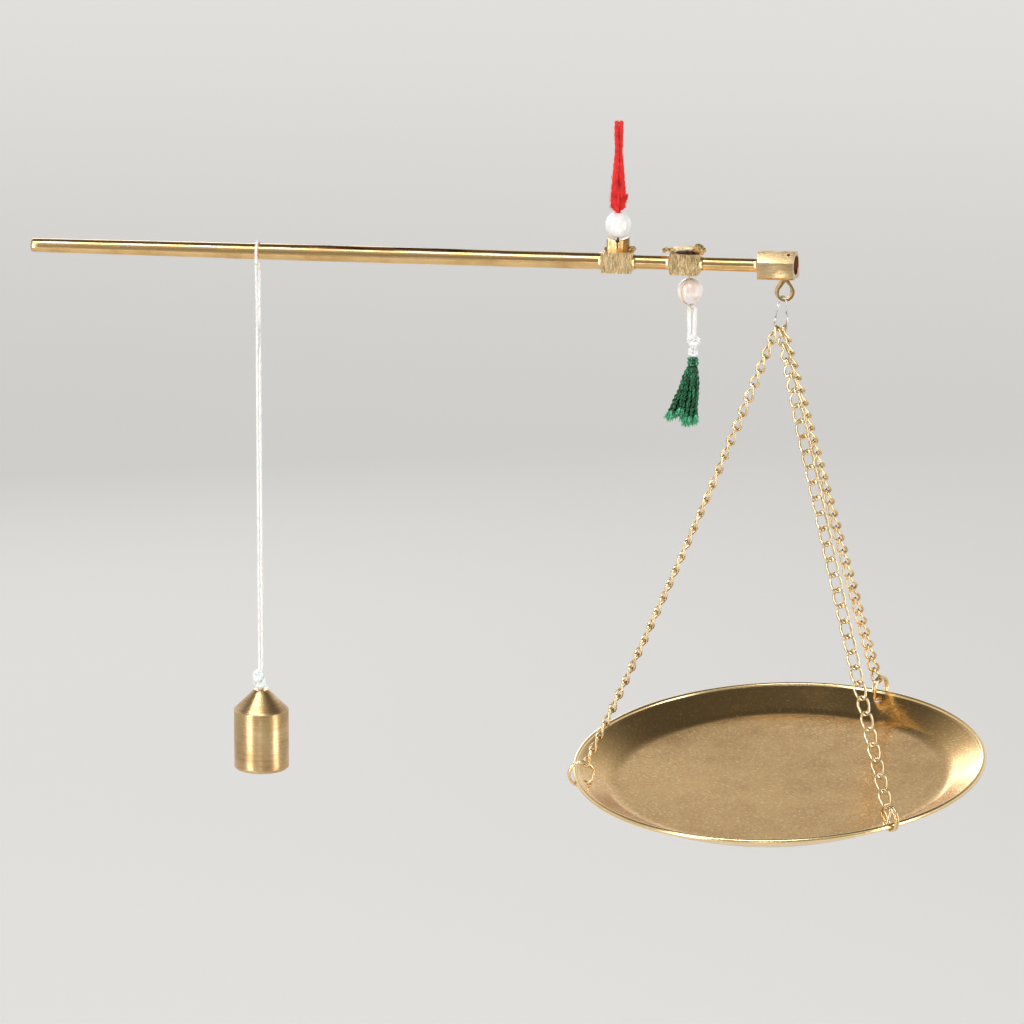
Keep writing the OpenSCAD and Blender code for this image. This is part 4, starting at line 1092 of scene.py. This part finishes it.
# The knot: thick turns of the thread, and the tail of its end, from the weight's top.
knot_turns, knot_skins = [], []
for radius, points in (
    (0.56, [
        (0.35, -0.2, 4.3), (-0.4, -0.6, 4.4), (-1.15, -0.5, 4.0), (-1.35, -0.3, 3.2),
        (-0.9, -0.7, 2.6), (-0.1, -0.95, 2.7), (0.35, -0.8, 3.3), (0.2, -0.4, 3.9),
    ]),
    (0.54, [
        (0.2, -0.7, 3.5), (-0.5, -0.9, 2.5), (-1.2, -0.6, 2.0), (-1.15, -0.3, 1.2),
        (-0.4, -0.7, 0.85), (0.5, -0.8, 1.2), (0.85, -0.6, 1.9), (0.6, -0.4, 2.8),
        (0.3, -0.2, 3.6),
    ]),
    (0.56, [
        (0.2, 0.4, 4.0), (-0.7, 0.7, 3.4), (-0.8, 0.6, 2.2), (0.2, 0.8, 1.4), (0.7, 0.4, 2.4),
        (0.1, 0.0, 3.2),
    ]),
    (0.62, [(-0.4, -0.3, 4.2), (-0.6, -0.4, 3.3), (-0.5, -0.4, 2.0), (0.0, -0.3, 0.6)]),
    (0.3, [(0.6, -0.7, 2.2), (1.0, -0.9, 1.4), (1.5, -0.9, 0.8), (1.95, -0.8, 0.45)]),
):
    path = smooth(np.array(points) + (-weight_x, 0, weight_top), 12)
    knot_turns.append(path)
    knot_skins += drawn(path, radius, 14, (0.1, 0.2, 1), 4)
tail = knot_turns[-1]
knot_skins += loose_fibres(tail, 90, np.linspace(0.4, 0.7, len(tail)), 1.3, 0.025, 71)
for k, turn in enumerate(knot_turns[:2]):
    knot_skins += loose_fibres(turn, 120, 0.85, 1.4, 0.022, 72 + k)
weight_knot = piece("weight_knot_wound", knot_skins, *below, ["weight_knot"])
for name, side, run in (("back", -1, weight_runs[0]), ("front", 1, weight_runs[1])):
    strand_skin = drawn(run, THREAD, 14, (1, 0.02, 0), lay=2.6)
    strand = piece(f"weight_strand_{name}", strand_skin, *below, ["weight_thread"])
    fibres = loose_fibres(run, 500, 0.48, 1.6, 0.016, 80 + side)
    fuzz = piece(f"strand_fibres_{name}", fibres, *below)
stem = np.array([(-weight_x, 0, z) for z in np.linspace(weight_top - 2.4, weight_top + 2.6, 30)])
stem_skin = drawn(stem, 0.64, 16, (1, 0, 0), depth=0.12, lay=2.2)
piece("weight_stem_thread", stem_skin, *below, ["weight_stem"])

WEIGHT_R, CONE, BODY, TOP_R, CHAMFER, HOLE, HOLE_LEN = 6.3, 4.65, 13.95, 1.7, 0.35, 0.75, 5.0
foot = -CONE - BODY
corners = np.array([
    (0, -HOLE_LEN), (HOLE, -HOLE_LEN), (HOLE, -0.12), (HOLE + 0.1, 0), (TOP_R - 0.12, 0),
    (TOP_R, -0.08), (WEIGHT_R - 0.1, -CONE + 0.05), (WEIGHT_R, -CONE - 0.12),
    (WEIGHT_R, foot + CHAMFER + 0.06), (WEIGHT_R - 0.04, foot + CHAMFER - 0.04),
    (WEIGHT_R - CHAMFER, foot), (0, foot),
])
fine = []
for here, there in zip(corners[:-1], corners[1:]):
    rows = max(2, int(np.linalg.norm(there - here) / 0.5))
    fine.append(here + (there - here) * np.linspace(0, 1, rows, endpoint=False)[:, None])
fine = np.vstack([*fine, corners[-1:]])
weight_grid = uneven(turned(fine, (-weight_x, 0, weight_top), 128), 0.05, 4.0, 6)
weight_brass = brass_finish(
    "turned_weight_brass", "#E2C492", "#A98356", (60.0, 60.0, 6200.0), rough=(0.26, 0.34),
    patches=150.0, streaks=0.4, scratch=0.3, pits=0.3,
)
weight = piece(
    "turned_weight", [weight_grid], "counterweight", weight_brass, "aged_brass",
    ["counterweight"],
)
smooth_by_angle(weight.data, 22.0)


# Studio: a plain pale floor under the hanging balance, a pale room that is darker above and
# behind the camera, and soft lamps all round.
def from_eye(tree):
    """One for rays from the eye, off a glossy surface or through glass, else nought."""
    rays = node(tree, "LightPath", {}).node.outputs
    shiny = joined(tree, "MAXIMUM", rays["Is Camera Ray"], rays["Is Glossy Ray"])
    return joined(tree, "MAXIMUM", shiny, rays["Is Transmission Ray"])


FLOOR_Z, FLOOR_R = -0.36, 7.0
pale_floor, tree, shader, place = start_finish("pale_floor", {
    "Roughness": 0.9, "Base Color": colour("#E6E4E1"), "Emission Color": colour("#F2F0ED"),
})
behind = coordinate(tree, "Y")
near, far = ramp(tree, behind, -0.4, 0.6, 0.06, 0.28), ramp(tree, behind, 0.5, 2.8, 0.0, 0.26)
glow = joined(tree, "MULTIPLY", from_eye(tree), joined(tree, "ADD", near, far))
feed(tree, shader, {"Emission Strength": glow})
floor_mesh = bpy.data.meshes.new("floor")
around = full_turn(64)
rim = FLOOR_R * np.stack([np.cos(around), np.sin(around), 0 * around], 1) + (0, 0, FLOOR_Z)
floor_mesh.from_pydata(rim.tolist(), [], [list(range(len(rim)))])
floor_mesh.materials.append(pale_floor)
placed("floor", floor_mesh)

world = bpy.data.worlds.new("room")
bpy.context.scene.world = world
world.use_nodes = True
tree = world.node_tree
up_way, far_way = (coordinate(tree, axis, "Generated") for axis in "ZY")
shade, overhead = (
    joined(tree, "MULTIPLY", ramp(tree, up_way, *by_height), ramp(tree, far_way, *by_depth))
    for by_height, by_depth in (
        ((0.28, 0.8, 1.0, 0.09), (-0.8, 0.2, 0.35, 1.0)),
        ((0.25, 0.6, 0.0, 1.0), (-0.3, 0.0, 0.6, 0.0)),
    )
)
shade = joined(tree, "MAXIMUM", shade, overhead)
pale = blended(tree, shade, (0.0, 0.0, 0.0, 1.0), (0.93, 0.925, 0.915, 1.0))
feed(tree, tree.nodes["Background"], {
    "Color": pale, "Strength": ramp(tree, from_eye(tree), 0.0, 1.0, 0.8, 1.0),
})

for name, place, size, power in (
    ("lamp_left", (-0.52, -0.54, 0.07), (0.24, 0.84), 3.2),
    ("lamp_right", (0.5, -0.19, -0.06), (0.18, 0.56), 1.5),
    ("lamp_above", (-0.22, -0.42, 0.85), (1.0, 0.24), 5.0),
    ("lamp_front", (-0.025, -0.87, -0.24), (0.12, 0.14), 0.16),
    ("lamp_behind", (-0.42, 1.15, 0.17), (0.4, 0.4), 1.2),
):
    light = bpy.data.lights.new(name, "AREA")
    light.shape, light.size, light.size_y, light.energy = "RECTANGLE", *size, power
    lamp = placed(name, light)
    lamp.location = place
    toward = np.array([0.0, 0.0, 0.0 if name == "lamp_above" else place[2]]) - place
    lamp.rotation_mode = "QUATERNION"
    lamp.rotation_quaternion = Vector(toward).to_track_quat("-Z", "Y")
